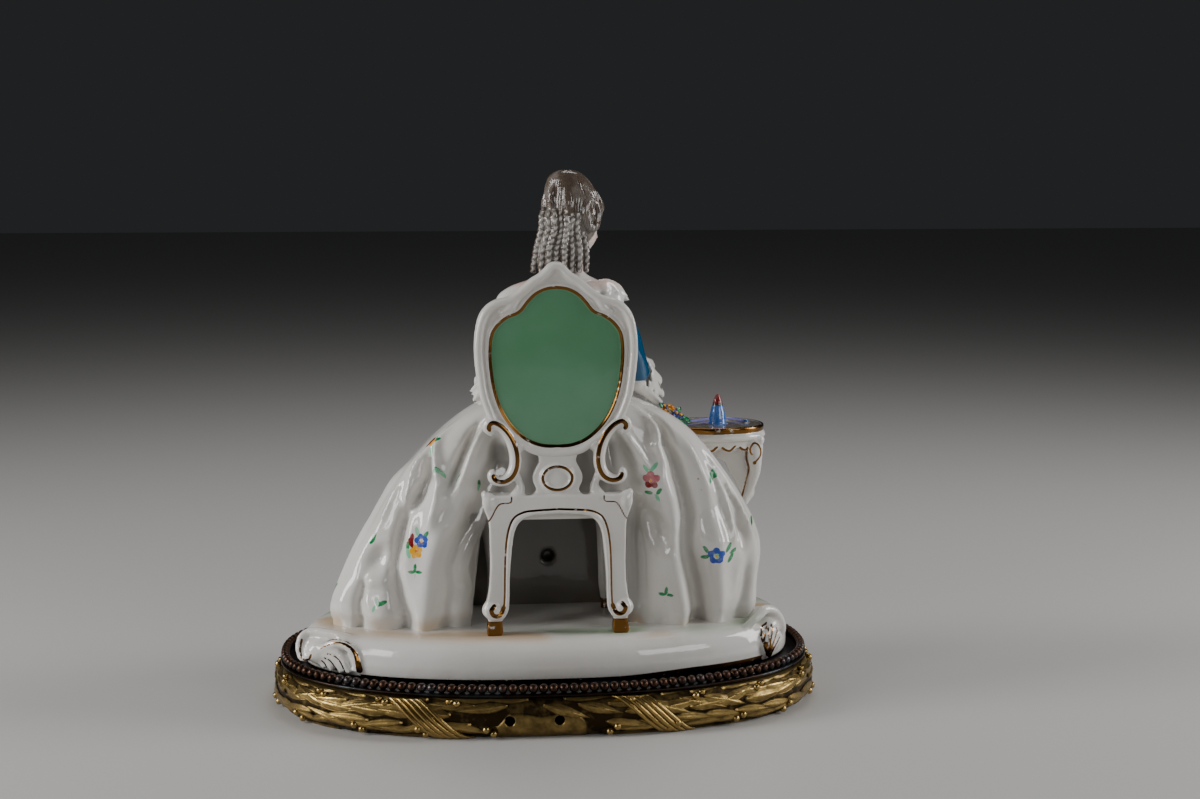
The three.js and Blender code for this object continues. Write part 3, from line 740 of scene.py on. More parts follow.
def ribbon_strands():
    strands = []
    arc = np.linspace(-14.2, 13.2, 15)
    for x, side in RIBBONS:
        middle = RING_OVAL.along_of(x, side)
        for offset in RIBBON_STRANDS:
            along = middle + offset * 1.35 + arc * RIBBON_SLANT * side
            stops = on_ring(along, arc, 1.7 - 0.02 * offset ** 2)
            strands.append(rod(stops, 1.45, 1.3, count=44, sides=12))
    return strands


def back_plate():
    """The plain plate at the back, with a cusped upper edge, that the two holes are drilled in."""
    low, high = (RING_OVAL.along_of(x, -1) for x in PLATE_SPAN)
    u = np.linspace(0, 1, 60)[:, None]
    v = np.linspace(0, 1, 12)[None, :]
    top_arc = PLATE_TOP_ARC - 1.6 * np.abs(np.sin(3 * math.pi * u)) * (u > 0.3) - 7 * (1 - steps(u, 0, 0.16))
    top_arc = top_arc - 6 * steps(u, 0.9, 1.0)
    arc = PLATE_LOW_ARC + (top_arc - PLATE_LOW_ARC) * v
    along = low + (high - low) * u + 0 * v
    edge = np.minimum(np.minimum(v, 1 - v) * 12, np.minimum(u, 1 - u) * 30)
    rise = 0.9 * np.clip(edge, 0, 1)
    outer = on_ring(along, arc, rise)
    inner = on_ring(along, arc, np.full_like(rise, -1.2))
    return skin(np.concatenate([outer, inner[:, ::-1]], 1))


def cut_away(piece, parts):
    tool = add_object("tool", *merged_parts(parts))
    cut = piece.modifiers.new("cut", "BOOLEAN")
    cut.operation = "DIFFERENCE"
    cut.solver = "MANIFOLD"
    cut.object = tool
    evaluated(piece)
    bpy.data.objects.remove(tool)


def joined(name, pieces):
    """Several objects made one."""
    with bpy.context.temp_override(active_object=pieces[0], selected_editable_objects=pieces):
        bpy.ops.object.join()
    pieces[0].name = name
    pieces[0].data.name = name
    return pieces[0]


def repeated_on_points(name, points, shape, tree_name):
    """Geometry Nodes that set one small shape on every point, made a plain mesh."""
    cloud = add_object(name, points, [])
    tree = bpy.data.node_groups.new(tree_name, "GeometryNodeTree")
    sockets = {}
    for title in ("Geometry", "Object", "Material"):
        sockets[title] = tree.interface.new_socket(title, in_out="INPUT", socket_type="NodeSocket" + title)
    tree.interface.new_socket("Geometry", in_out="OUTPUT", socket_type="NodeSocketGeometry")
    incoming = add_node(tree, "NodeGroupInput").outputs
    one = add_node(tree, "GeometryNodeObjectInfo", {"Object": incoming["Object"]})
    spread = add_node(tree, "GeometryNodeInstanceOnPoints", {
        "Points": incoming["Geometry"], "Instance": one.outputs["Geometry"]})
    real = add_node(tree, "GeometryNodeRealizeInstances", {"Geometry": spread.outputs[0]})
    coat = add_node(tree, "GeometryNodeSetMaterial", {
        "Geometry": real.outputs[0], "Material": incoming["Material"]})
    add_node(tree, "NodeGroupOutput", {"Geometry": coat.outputs[0]})
    grow = cloud.modifiers.new(tree_name, "NODES")
    grow.node_group = tree
    grow[sockets["Object"].identifier] = shape
    grow[sockets["Material"].identifier] = shape.data.materials[0]
    cloud.update_tag()
    evaluated(cloud)
    bpy.data.objects.remove(shape)
    bpy.data.node_groups.remove(tree)
    return cloud


def small_ball(radius, material, across, down):
    """A ball at the origin, for repeating."""
    piece = add_object("small_ball", *ball((0, 0, 0), (radius, radius, radius), across=across, down=down))
    piece.data.materials.append(material)
    turn_out(piece)
    return piece


def relief_depth(points):
    """How far points of the wreath stand off the ring's plain face."""
    ring = RING_OVAL.ring[::8]
    out = RING_OVAL.out[::8]
    reach = []
    for block in np.array_split(points[:, :2], len(points) // 4000 + 1):
        near = np.linalg.norm(block[:, None] - ring[None], axis=2).argmin(1)
        reach.append(((block - ring[near]) * out[near]).sum(1))
    reach = np.concatenate(reach)
    height = points[:, 2] - RING_MIDDLE
    angle = np.arctan2(height / RING_ARC, (reach - RING_STEP_IN) / RING_SWELL)
    plain = RING_STEP_IN + RING_SWELL * np.cos(angle)
    return (reach - plain) * np.cos(angle) + (height - RING_ARC * np.sin(angle)) * np.sin(angle)


def make_wreath():
    leaves, berries = wreath_leaves(np.random.default_rng(7))
    metal = gilt_bronze()
    holes = [drill((x, HOLE_HEIGHT), HOLE_RADIUS, HOLE_DEPTHS) for x in HOLE_PLACES]
    blocks = [add_object("laurel_wreath", *ring_core()), add_object("plate", *back_plate())]
    for block in blocks:
        cut_away(block, holes)
    blocks.append(add_object("carving", *merged_parts(leaves + ribbon_strands())))
    berry_points = on_ring(*np.transpose(berries), 1.5)
    berry = small_ball(BERRY_RADIUS, metal, across=10, down=7)
    blocks.append(repeated_on_points("fruit", berry_points, berry, "laurel_berries"))
    wreath = joined("laurel_wreath", blocks)
    points = np.clip(laid_out(wreath), *WREATH_LIMITS)
    move_to(wreath, points)
    write_number(wreath, "raised", relief_depth(points))
    finish_piece(wreath, "laurel_wreath_base", metal)


# Dark tray with a beaded rim

TRAY_PROFILE = (
    (RING_HEIGHT + TRAY_GAP, -3.5), (RING_HEIGHT + TRAY_GAP, 1.4), (21.6, 2.2), (22.4, 2.7), (23.1, 2.5),
    (23.4, 1.6), (23.4, -2.2), (TRAY_TOP, -3.0),
)


def make_tray():
    metal = dark_bronze()
    body = add_object("tray_body", *skin([
        at_height(oval_points(300, BEAD_HALF, OVAL_POWER, -out), height) for height, out in TRAY_PROFILE]))
    oval = Oval(BEAD_HALF, OVAL_POWER)
    where, _ = oval.at(np.arange(BEAD_COUNT) / BEAD_COUNT * oval.total)
    bead = small_ball(BEAD_RADIUS, metal, across=14, down=9)
    beads = repeated_on_points("beads", at_height(where, TRAY_TOP + BEAD_RADIUS), bead, "rim_beads")
    finish_piece(joined("bead_rimmed_tray", [body, beads]), "beaded_tray", metal)


# Porcelain base: oblong, with a rocaille scroll at its left end and a shell at its right

BASE_PROFILE = (
    (23.5, 2.4), (24.1, 1.0), (26.0, 0.2), (29.0, 0.0), (33.0, 0.2), (37.0, 1.0), (40.5, 2.4), (43.2, 4.7),
    (45.0, 8.0), (45.8, 12.0), (46.0, 18.0), (46.0, 40.0), (46.0, 66.0),
)
SCROLL_RIBS = (
    ((-126.0, -43.5, 36.6), (-119.8, -47.5, 40.6), (-112.7, -51.0, 41.0), (-107.1, -53.6, 36.6),
     (-104.6, -55.4, 27.0)),
    ((-125.4, -43.5, 35.1), (-118.8, -47.5, 36.8), (-113.2, -50.4, 33.6), (-109.6, -52.6, 25.5)),
    ((-125.0, -43.5, 33.8), (-119.6, -46.6, 33.4), (-115.9, -48.8, 30.0), (-113.8, -50.4, 25.2)),
    ((-125.0, -42.5, 32.2), (-121.4, -44.8, 30.2), (-119.0, -47.2, 25.6)),
    ((-126.2, -41.2, 31.4), (-124.6, -42.4, 28.6), (-123.4, -44.0, 26.0)),
)
SCROLL_RIB_HALF = (2.3, 1.9, 1.8, 1.7, 1.4)
SCROLL_LIP = (
    (-104, -47, 41.5), (-114, -43, 43.8), (-124, -38, 45.0), (-131.5, -34.5, 44.6), (-136, -35.6, 41.2),
    (-137, -37, 36.2), (-136, -39, 31.6), (-132.6, -40.5, 31.0), (-131, -41.4, 34.0),
)
SCROLL_LIP_HALF = (2.6, 2.8, 2.8, 2.6, 2.4, 2.2, 1.9, 1.7, 1.3)
SHELL_FOOT = (121.2, -44.6, 25.2)
SHELL_ARC = ((117.6, -45.0, 37.5), (119.0, -44.6, 41.6), (121.8, -43.4, 43.6), (125.0, -41.6, 42.6),
             (128.0, -39.4, 39.4), (129.8, -37.0, 35.2))
SHELL_LIP = (
    (107, -46, 43.6), (113.5, -44, 48.0), (119.5, -39.6, 51.8), (125.2, -36, 50.0), (129.2, -33.6, 45.4),
    (131.2, -33.4, 40.2), (130.4, -34, 35.6),
)
SHELL_LIP_HALF = (1.8, 2.6, 3.0, 2.8, 2.6, 2.2, 1.5)
# the bodies under both: (centre, half sizes, turn in radians)
SCROLL_SWELLINGS = (
    ((-117, -32.5, 34.5), (18, 11.5, 9.6), 0.45), ((-129.5, -29, 36.5), (8.6, 10.5, 8.4), 0.3),
    ((-128.4, -38.6, 34.4), (3.4, 3.4, 3.2), 0.0),
)
SHELL_SWELLINGS = (
    ((118.5, -27, 41), (11, 13.5, 10.0), 0.5), ((123, -16, 37), (10.5, 15, 8.5), 0.4),
    ((121.5, -34.5, 33), (8.0, 6.4, 8.6), 0.6),
)
# the gilt band round the foot of the wall, which rises a little to the right
BAND_TOP = 25.3
BAND_RISE = 2.1
BAND_X = (-104, 117)


def base_outline(count, inset):
    """The base's plan: an oblong whose left end curves inwards."""
    outline = oval_points(count, BASE_HALF, BASE_POWER, inset)
    outline[:, 0] += 9 * bump((outline[:, 1] - 20) / 24) * steps(-outline[:, 0], 50, 120)
    return outline


def left_scroll():
    parts = [rod(SCROLL_LIP, SCROLL_LIP_HALF, count=60)]
    for rib, half in zip(SCROLL_RIBS, SCROLL_RIB_HALF):
        parts.append(rod(rib, (0.6 * half, half, half, 0.8 * half), count=24))
    return parts + [ball(*swelling) for swelling in SCROLL_SWELLINGS]


def right_shell():
    parts = [rod(SHELL_LIP, SHELL_LIP_HALF, count=50)]
    foot = np.array(SHELL_FOOT)
    for tip in SHELL_ARC:
        middle = (foot + tip) / 2 + [-0.8, -1.6, 0.5]
        parts.append(rod([foot, middle, tip], (0.8, 1.5, 1.4), count=16))
    return parts + [ball(*swelling) for swelling in SHELL_SWELLINGS]


def make_base():
    rings = [at_height(base_outline(200, inset), height) for height, inset in BASE_PROFILE]
    base = fused("porcelain_base", [skin(rings)] + left_scroll() + right_shell(), grain=1.25, rounding=3)
    points = laid_out(base)
    rim = inside_distance(points[:, :2], base_outline(160, 0))
    wall = (rim > -5) & (points[:, 0] > BAND_X[0]) & (points[:, 0] < BAND_X[1])
    band = np.where(wall, points[:, 2] - BAND_TOP - BAND_RISE * steps(points[:, 0], 30, 80), FAR)
    write_number(base, "gold", np.minimum(band, scroll_lines(points)))
    near_skirt = steps(points[:, 2], 42, 45.6) * bump((rim + 16) / 13)
    patches = evaluate_noise(points, 46, 3)
    for name, sign, strength in (("green_mist", 1, 0.7), ("brown_mist", -1, 0.75)):
        write_number(base, name, near_skirt * steps(sign * patches, -0.1, 0.9) * strength)
    finish_porcelain(base, "base", (("gold", 0.0, "gold"),), BASE_TINTS)


def scroll_lines(points):
    """Thin gold along the rocaille ribs, the scroll's edge and the shell's ribs, seen from behind."""
    ribs = [smooth_path(rib, 16)[:, [0, 2]] for rib in SCROLL_RIBS]
    crest = ribs[0] + [0.6, 0.9]
    widths = np.interp(np.arange(15), [0, 9, 14], [0.35, 0.7, 1.7])
    lines = [(crest[k:k + 2], width) for k, width in enumerate(widths)]
    lines += [(((near + far) / 2)[2:], 0.42) for near, far in zip(ribs[1:], ribs[2:])]
    lines.append((smooth_path(SCROLL_LIP[4:], 30)[:, [0, 2]] + [0.8, 0], 0.6))
    foot = np.array(SHELL_FOOT)
    tips = np.array(SHELL_ARC)
    shell = [[foot, (foot + tip) / 2 + [-0.8, 0, 0.5], tip] for tip in (tips[:-1] + tips[1:]) / 2]
    shell.append([foot + [-1.4, 0, 2], *(tips[:3] + [-1.3, 0, 0.6])])
    lines += [(np.array(line)[:, [0, 2]], 0.5) for line in shell]
    return np.where(points[:, 1] < -33, painted_lines(points[:, [0, 2]], lines), FAR)


# Skirt: a dome with soft folds. Angles run from the back centre (0) to the sitter's right (90).

SKIRT_HALF_WIDTH = 119.5
SKIRT_FRONT = 76.0
SKIRT_BACK = 28.0
FOLDS = (
    # ((height share, angle) of each stop from hem to waist, half width in degrees, relief in mm)
    # the valleys and ridges on her right
    (((-0.2, 36), (0.04, 35.5), (0.2, 33), (0.3, 31), (0.37, 31), (0.46, 33.5), (0.62, 37), (0.76, 43),
      (0.84, 56), (0.96, 62)), 3.8, -8),
    (((-0.2, 29), (0.05, 29), (0.2, 26.5), (0.3, 25.6), (0.49, 27), (0.63, 28.5), (0.76, 34.5),
      (0.85, 46), (0.94, 52)), 3.6, 3.6),
    (((0.5, 24), (0.66, 24), (0.72, 22.5), (0.8, 20.5), (0.9, 19)), 2.8, 2.4),
    (((-0.2, 14), (0.07, 14), (0.36, 13), (0.66, 15), (0.85, 17)), 3.8, -6),
    (((0.28, 22.5), (0.41, 21), (0.53, 18)), 2.6, -5),
    (((-0.2, 43), (0.1, 43), (0.3, 42), (0.5, 46), (0.62, 50), (0.73, 56), (0.84, 66)), 4.6, 2.8),
    (((0.28, 52), (0.35, 53.5), (0.48, 56.5), (0.6, 60), (0.74, 68)), 2.6, 2.4),
    (((0.42, 62), (0.55, 65), (0.66, 68), (0.78, 74)), 2.8, -3.6),
    (((0.3, 69), (0.46, 68), (0.56, 72)), 2.6, 2.2),
    (((-0.2, 56), (0.06, 56), (0.2, 61), (0.3, 64)), 4.4, -3),
    # the valleys and ridges on her left
    (((-0.2, -22), (0.08, -22.4), (0.18, -22.2), (0.26, -24.5), (0.34, -24.2), (0.46, -21.5),
      (0.6, -20.5), (0.7, -20), (0.84, -25)), 3.2, -5.5),
    (((-0.2, -15), (0.3, -15), (0.6, -15), (0.8, -16)), 4.6, -5),
    (((-0.2, -29), (0.1, -29), (0.2, -30), (0.4, -31.5), (0.52, -33)), 4.6, 3),
    (((0.36, -36), (0.48, -37.4), (0.54, -38), (0.62, -41.5), (0.7, -51.5), (0.8, -70),
      (0.88, -78)), 3.2, 3.6),
    (((0.54, -34), (0.61, -34.8), (0.69, -36.5), (0.76, -39), (0.82, -43), (0.9, -48)), 3, -6.5),
    (((0.52, -31), (0.61, -31.2), (0.67, -31.8), (0.73, -33.6), (0.81, -36), (0.92, -42)), 2.4, 3),
    (((0.44, -48), (0.51, -49), (0.56, -49), (0.63, -51), (0.7, -60), (0.78, -68)), 3.8, -6.5),
    (((0.42, -52), (0.51, -53.6), (0.59, -58.5), (0.68, -68), (0.8, -78)), 2.3, 2.2),
    (((-0.2, -35), (0.06, -36), (0.1, -38.4), (0.18, -42), (0.25, -45.5), (0.37, -48.6), (0.46, -51.6),
      (0.56, -57)), 3, -5.5),
    (((-0.2, -59), (0.05, -59), (0.12, -61.5), (0.27, -61.5)), 2.8, -4.5),
    (((0.38, -67), (0.5, -68), (0.66, -73)), 2.4, 1.8),
)
SWELLS = (
    # (angle, height share, half width in degrees, half height as a share, relief in mm)
    (46, 0.33, 9, 0.08, 3.6),
    (46, 0.48, 8, 0.08, -2.6),
    (60, 0.4, 3.4, 0.07, -3),
    (-57, 0.295, 8, 0.06, -6),
    (-56, 0.205, 9, 0.026, 2.6),
    (-47, 0.07, 7, 0.07, 3),
    (-80, 0.1, 10, 0.1, 2.4),
    (78, 0.34, 11, 0.12, 2),
    (86, 0.1, 13, 0.13, -5.6),
    (92, 0.83, 14, 0.12, 3.4),
    (-91, 0.53, 16, 0.28, -2.2),
    (-100, 0.95, 14, 0.1, 2.5),
)
HEM_TUCK = 2.5
FRONT_FOLD_FIRST = 96
FRONT_FOLD_STEP = 21
FRONT_FOLD_COUNT = 9
SKIRT_COLUMNS = 520
SKIRT_ROWS = 170
# the folds are modelled deeper here than in the plain solid
FOLD_GAIN = 1.3
# the vent hole in the hollow's back wall, [x, z]
VENT = (3.0, 74.0)
VENT_RADIUS = 3.7
# how dark the painted shade is in the hollow, in its vent, and on the skirt beside and behind the chair
HOLLOW_SHADE = 0.84
VENT_SHADE = 0.924
SHADE_BESIDE = 0.55
SHADE_BEHIND = 0.62


def front_folds():
    folds = []
    for k in range(FRONT_FOLD_COUNT):
        angle = FRONT_FOLD_FIRST + k * FRONT_FOLD_STEP
        top = 180 - (180 - angle) * 0.94
        folds.append((((-0.2, angle), (0.62 + 0.12 * (k % 2), top)), 5.5, -6.0))
        folds.append((((-0.2, angle + 9), (0.5 + 0.1 * (k % 3), top + 8)), 4.5, 2.6))
    return tuple(folds)


def quarter(h, power):
    return np.maximum(1 - np.clip(h, 0, 1) ** power, 0) ** (1 / power)


def turned_apart(degrees, centre):
    """How many degrees lie between two directions."""
    return np.abs((degrees - centre + 180) % 360 - 180)


def fold_relief(degrees, h):
    total = -HEM_TUCK * (1 - steps(h, 0, 0.07))
    for stops, half, relief in FOLDS + front_folds():
        shares, angles = zip(*stops)
        centre = np.interp(h, shares, angles)
        ends = steps(h, shares[0], shares[0] + 0.12) * (1 - steps(h, shares[-1] - 0.12, shares[-1]))
        total = total + FOLD_GAIN * relief * ends * bump(turned_apart(degrees, centre) / half)
    for angle, share, half, tall, relief in SWELLS:
        total = total + relief * bump(turned_apart(degrees, angle) / half) * bump((h - share) / tall)
    return total


def signed_power(value, exponent):
    return np.sign(value) * np.abs(value) ** exponent


def skirt_surface(degrees, h):
    """Points of the skirt's skin, its folds square to its plan. h runs from 0 at the hem to 1."""
    degrees = np.asarray(degrees, float)
    h = np.asarray(h, float)
    centre_x = 1.5 + 6.5 * np.minimum(h / 0.45, 1)
    toward_back = np.cos(np.radians(degrees))
    toward_right = np.sin(np.radians(degrees))
    back = toward_back > 0
    width = SKIRT_HALF_WIDTH * quarter(h, 1.9)
    depth = np.where(back, SKIRT_BACK * quarter(h, 5), SKIRT_FRONT * quarter(h, 2.6))
    power = np.where(back, 2.8, 2.2)
    out_x = signed_power(toward_right, 2 - 2 / power) / width
    out_y = -signed_power(toward_back, 2 - 2 / power) / depth
    rise = fold_relief(degrees, h) / np.hypot(out_x, out_y)
    x = centre_x + width * signed_power(toward_right, 2 / power) + out_x * rise
    y = SKIRT_CENTRE_Y - depth * signed_power(toward_back, 2 / power) + out_y * rise
    return np.stack([x, y, BASE_TOP + (SKIRT_TOP - BASE_TOP) * h], -1)


def skirt_skin():
    degrees = np.linspace(-180, 180, SKIRT_COLUMNS, endpoint=False)
    levels = np.linspace(0, 1, SKIRT_ROWS) ** 0.8 * 0.98
    rings = [skirt_surface(degrees, np.full(SKIRT_COLUMNS, h)) for h in levels]
    return skin([at_height(rings[0][:, :2], BASE_TOP - 3)] + rings)


def niche_block():
    outline = ((-43, BASE_TOP - 6), (42, BASE_TOP - 6), (42, 60), (41, 95), (37, 108), (-33, 108), (-38, 95),
               (-42, 60))
    return upright_plate(outline, -110, NICHE_FRONT)


# Sprigs painted on the skirt: (angle, height share, turn in degrees, kind)

SPRIGS = (
    (-73, 0.765, 25, "butterfly"), (-33, 0.635, 5, "stem"), (-39, 0.36, 10, "bouquet"),
    (-36, 0.25, 10, "trefoil"), (-67, 0.385, 40, "leaf"), (-49.5, 0.11, 50, "leaf_pair"),
    (-88, 0.16, 30, "leaf"), (-61, 0.93, 0, "blue_flower"), (22.4, 0.615, 0, "red_flower"),
    (41, 0.29, 0, "blue_flower"), (22.5, 0.135, 0, "trefoil"), (63, 0.64, 20, "leaf"),
    (76, 0.42, 20, "leaf"), (100, 0.3, 30, "bouquet"), (118, 0.62, 0, "red_flower"),
    (128, 0.25, 60, "blue_flower"), (140, 0.5, 0, "trefoil"), (150, 0.74, 30, "leaf_pair"),
    (158, 0.3, 0, "bouquet"), (172, 0.55, 0, "blue_flower"), (-172, 0.18, 20, "leaf_pair"),
    (-160, 0.7, 0, "bouquet"), (-150, 0.36, 0, "red_flower"), (-138, 0.6, 10, "trefoil"),
    (-126, 0.2, 0, "blue_flower"), (-112, 0.45, 30, "bouquet"), (-102, 0.62, 0, "leaf"),
    (-104, 0.2, 60, "trefoil"),
)
PAINTS = ("leaf", "pale_leaf", "blue", "red", "rose", "orange", "yellow", "ink")
SPRIG_REACH = 14.5
SPRIG_MARKS = {
    # strokes in painting order: a stalk from one point to another, leaves of a colour with their
    # length and then (x, y, turn) of each, or a flower with its centre, petals, colours and heart
    "blue_flower": (
        ("stalk", (0, 0), (8.5, -3.0)), ("stalk", (-6.5, 0.6), (0, 0)),
        ("leaf", 2.7, (-5.8, 3.0, 130), (-6.4, -1.4, 200), (6.6, 3.2, 60), (7.6, -3.4, 240), (9.6, 0.6, 20)),
        ("flower", (0, 0), 2.9, ("blue",), ("pale_leaf", "yellow")),
    ),
    "red_flower": (
        ("stalk", (0, 0), (1.6, -11)), ("leaf", 2.6, (-2.0, -7.2, 170), (4.0, -6.4, 50)),
        ("pale_leaf", 2.6, (-2.6, 6.6, 120), (1.4, 7.0, 60), (2.6, -10.2, 290)),
        ("flower", (0, 0), 3.0, ("rose", "rose", "red", "red", "rose"), ("rose", "yellow")),
    ),
    "bouquet": (
        ("stalk", (0, 0), (1, -8)), ("stalk", (1, -3), (-3, -7)),
        ("leaf", 2.7, (-5.4, -0.2, 80), (6.4, 4.6, 40)),
        ("pale_leaf", 3.0, (1.4, 6.8, 100), (-5.6, -4.2, 100)),
        ("flower", (3.0, 1.4), 2.5, ("blue",), ("red", "yellow")),
        ("flower", (-1.0, -3.8), 2.3, ("yellow",), ("orange", "yellow")),
        ("red", 3.0, (-2.4, 3.6, 70), (-3.2, 1.0, 110)),
    ),
    "butterfly": (
        ("red", 4.0, (-1.6, 1.8, 40)), ("yellow", 2.8, (0.2, 0.4, 40)),
        ("leaf", 2.7, (4.2, -1.4, 20), (3.0, 1.8, 70)), ("pale_leaf", 2.6, (-0.6, -4.4, 60)),
    ),
    "trefoil": (
        ("stalk", (0, 0), (-0.6, -4.6)), ("leaf", 2.3, (0.3, 2.0, 80), (-2.2, -0.2, 170), (2.2, -0.6, 350)),
    ),
    "stem": (
        ("stalk", (-1.2, -1.4), (1.6, 2.2)), ("leaf", 2.4, (0.6, 0.9, 50)),
        ("pale_leaf", 2.2, (-0.5, -1.2, 60)),
    ),
    "leaf": (("leaf", 2.6, (0, 0, 30), (-2.4, -1.4, 10)),),
    "leaf_pair": (("leaf", 3.0, (1.6, 1.2, 60), (2.8, -1.8, 340)), ("pale_leaf", 2.2, (-2.6, -0.6, 20))),
}


def ellipse_gap(u, v, centre, half, turn):
    """About the distance in mm from an ellipse's edge, negative inside."""
    c = math.cos(math.radians(turn))
    s = math.sin(math.radians(turn))
    x = (u - centre[0]) * c + (v - centre[1]) * s
    y = -(u - centre[0]) * s + (v - centre[1]) * c
    share = np.sqrt((x / half[0]) ** 2 + (y / half[1]) ** 2)
    return (share - 1) * min(half)


def paint_flower(gaps, u, v, centre, petal_half, colours, heart):
    """Five petals round a heart; the petals take the colours in turn."""
    for k in range(5):
        turn = 90 + 72 * k
        middle = (centre[0] + petal_half * 0.95 * math.cos(math.radians(turn)),
                  centre[1] + petal_half * 0.95 * math.sin(math.radians(turn)))
        colour = colours[k % len(colours)]
        gap = ellipse_gap(u, v, middle, (petal_half * 0.78, petal_half * 0.7), turn)
        gaps[colour] = np.minimum(gaps[colour], gap)
    for size, colour in ((0.6, heart[0]), (0.3, heart[1])):
        gap = ellipse_gap(u, v, centre, (petal_half * size, petal_half * size), 0)
        for name in gaps:
            gaps[name] = np.where(gap < 0.3, np.maximum(gaps[name], -gap), gaps[name])
        gaps[colour] = np.minimum(gaps[colour], gap)


def paint_sprig(kind, u, v):
    """Distances from the edges of each colour of one sprig."""
    gaps = {name: np.full(len(u), FAR) for name in PAINTS}
    for mark, *rest in SPRIG_MARKS[kind]:
        if mark == "flower":
            paint_flower(gaps, u, v, *rest)
        elif mark == "stalk":
            gaps["ink"] = np.minimum(gaps["ink"], painted_lines(np.stack([u, v], 1), [(rest, 0.13)]))
        else:
            length, *leaves = rest
            for x, y, turn in leaves:
                gap = ellipse_gap(u, v, (x, y), (length, length * 0.42), turn)
                gaps[mark] = np.minimum(gaps[mark], gap)
    return gaps


def paint_sprigs(piece):
    points = laid_out(piece)
    gaps = {name: np.full(len(points), FAR) for name in PAINTS}
    for degrees, h, turn, kind in SPRIGS:
        middle, right, above = skirt_surface([degrees, degrees + 0.6, degrees], [h, h, h + 0.01])
        across = unit(right - middle)
        up = above - middle
        up = unit(up - across * (up @ across))
        near = np.where(np.linalg.norm(points - middle, axis=1) < SPRIG_REACH)[0]
        u = (points[near] - middle) @ across
        v = (points[near] - middle) @ up
        c = math.cos(math.radians(turn))
        s = math.sin(math.radians(turn))
        painted = paint_sprig(kind, u * c + v * s, -u * s + v * c)
        for name in PAINTS:
            gaps[name][near] = np.minimum(gaps[name][near], painted[name])
    for name in PAINTS:
        write_number(piece, name, gaps[name])


def painted_hollow_shade(points):
    """Painted shade: the hollow under the seat and its vent darkened, and a little of the skirt beside and
    behind the chair.
    """
    x, y, z = points.T
    hollow = steps(y, NICHE_FRONT + 4, NICHE_FRONT + 2) * steps(y, -46, -36) * (np.abs(x) < 43.5) * (z < 109)
    vent = (np.hypot(x - VENT[0], z - VENT[1]) < VENT_RADIUS + 0.5) & (np.abs(y - NICHE_FRONT - 5) < 7)
    hollow = np.where(vent, VENT_SHADE, HOLLOW_SHADE * hollow)
    across = np.abs(x - CHAIR_X)
    beside = SHADE_BESIDE * (1 - steps(across, 42, 57)) * (1 - steps(z, 100, 125))
    behind = SHADE_BEHIND * (1 - steps(across, 30, 37)) * (1 - steps(z, 145, 153))
    return np.maximum(hollow, steps(y, -25, -38) * np.maximum(beside, behind))


def make_skirt():
    skirt = add_object("porcelain_skirt", *skirt_skin())
    cut_away(skirt, [niche_block()])
    cut_away(skirt, [drill(VENT, VENT_RADIUS, (NICHE_FRONT - 4, NICHE_FRONT + 9))])
    reskinned(skirt, grain=1.3, rounding=3)
    paint_sprigs(skirt)
    points = laid_out(skirt)
    # painted shade in the hollow and its vent, and on the skirt beside and behind the chair
    write_number(skirt, "dust", painted_hollow_shade(points))
    near_hem = 1 - steps(points[:, 2], 47, 56)
    write_number(skirt, "brown_mist", near_hem * steps(evaluate_noise(points, 30, 5), -0.2, 1.2) * 0.7)
    finish_porcelain(skirt, "skirt", tuple((name, 0.0, name) for name in PAINTS), SKIRT_TINTS)


# Chair: a shaped back round a green panel, a pierced rail, a seat and four curved legs

BACK_NEAR = -60.0
BACK_FAR = -52.0
BACK_OUTLINE = (
    (0, 246.8), (3, 245.9), (6, 242.6), (9.4, 239.9), (13, 237.8), (17.2, 233.9), (21.5, 230.4),
    (25, 228.3), (29.5, 227), (33, 226.0), (37, 223.6), (40.3, 219.4), (42.2, 213.4), (43.3, 204.6),
    (43.2, 196), (42.3, 187), (40.8, 176.5), (38.2, 168.4), (35, 161.4), (29.5, 154.6), (21, 149),
    (12, 143.6), (0, 142),
)
PANEL_OUTLINE = (
    (0, 233.2), (5.6, 232.4), (11, 229.8), (15.4, 225.6), (18.6, 221.4), (21.4, 219.4), (26, 217.6),
    (30.9, 213.8), (34.3, 208.4), (35.4, 200), (35.0, 190), (33.3, 179), (29.9, 168.6), (24.6, 159.8),
    (17, 152.6), (8.6, 148.9), (0, 148.1),
)
BACK_CORNER = ((19.5, -57.6, 228.4), (24.5, -58.2, 223), (30, -58, 219.6))
LEG_OUTLINE = (
    (0, 122), (30, 122.2), (36, 122.4), (39.4, 124), (40.2, 119.5), (39.4, 114.6), (37.6, 110), (36.8, 105),
    (36.6, 96), (36.4, 84), (37, 73), (38.4, 64.6), (40.4, 61), (40.2, 57.4), (37.6, 54.8), (38.2, 46),
    (30.2, 46), (30, 54.6), (27.4, 58.4), (26.6, 66), (26, 78), (24.6, 94), (22.9, 103.4), (19.4, 108.6),
    (13, 111.0), (0, 111.8),
)
SPLAT_OUTLINE = (
    (0, 148), (13, 147.5), (10.6, 143.6), (9.9, 140.0), (11.6, 136.6), (13.2, 133), (13.1, 129),
    (11.6, 125.8), (12.2, 123), (16.5, 120.5), (0, 120.5),
)
SCROLL_STOPS = (
    (33.9, 155.4), (37.6, 158.6), (35.4, 161.6), (30.4, 159.2), (25.6, 153.4), (22.9, 146), (22.6, 138.6),
    (25, 132.6), (29.6, 129.8), (34.2, 130.6), (35.2, 133.6), (33.2, 134.4),
)
SCROLL_HALF = (2.6, 2.9, 3.3, 3.3, 3.4, 3.5, 3.5, 3.5, 3.4, 3.2, 2.8, 2.4)
BACK_MIDDLE = np.array([CHAIR_X, 190.0])
MEDALLION = (2.4, 131.3)
MEDALLION_HALF = (9.2, 7.6)
MEDALLION_RING = (7.9, 6.3)
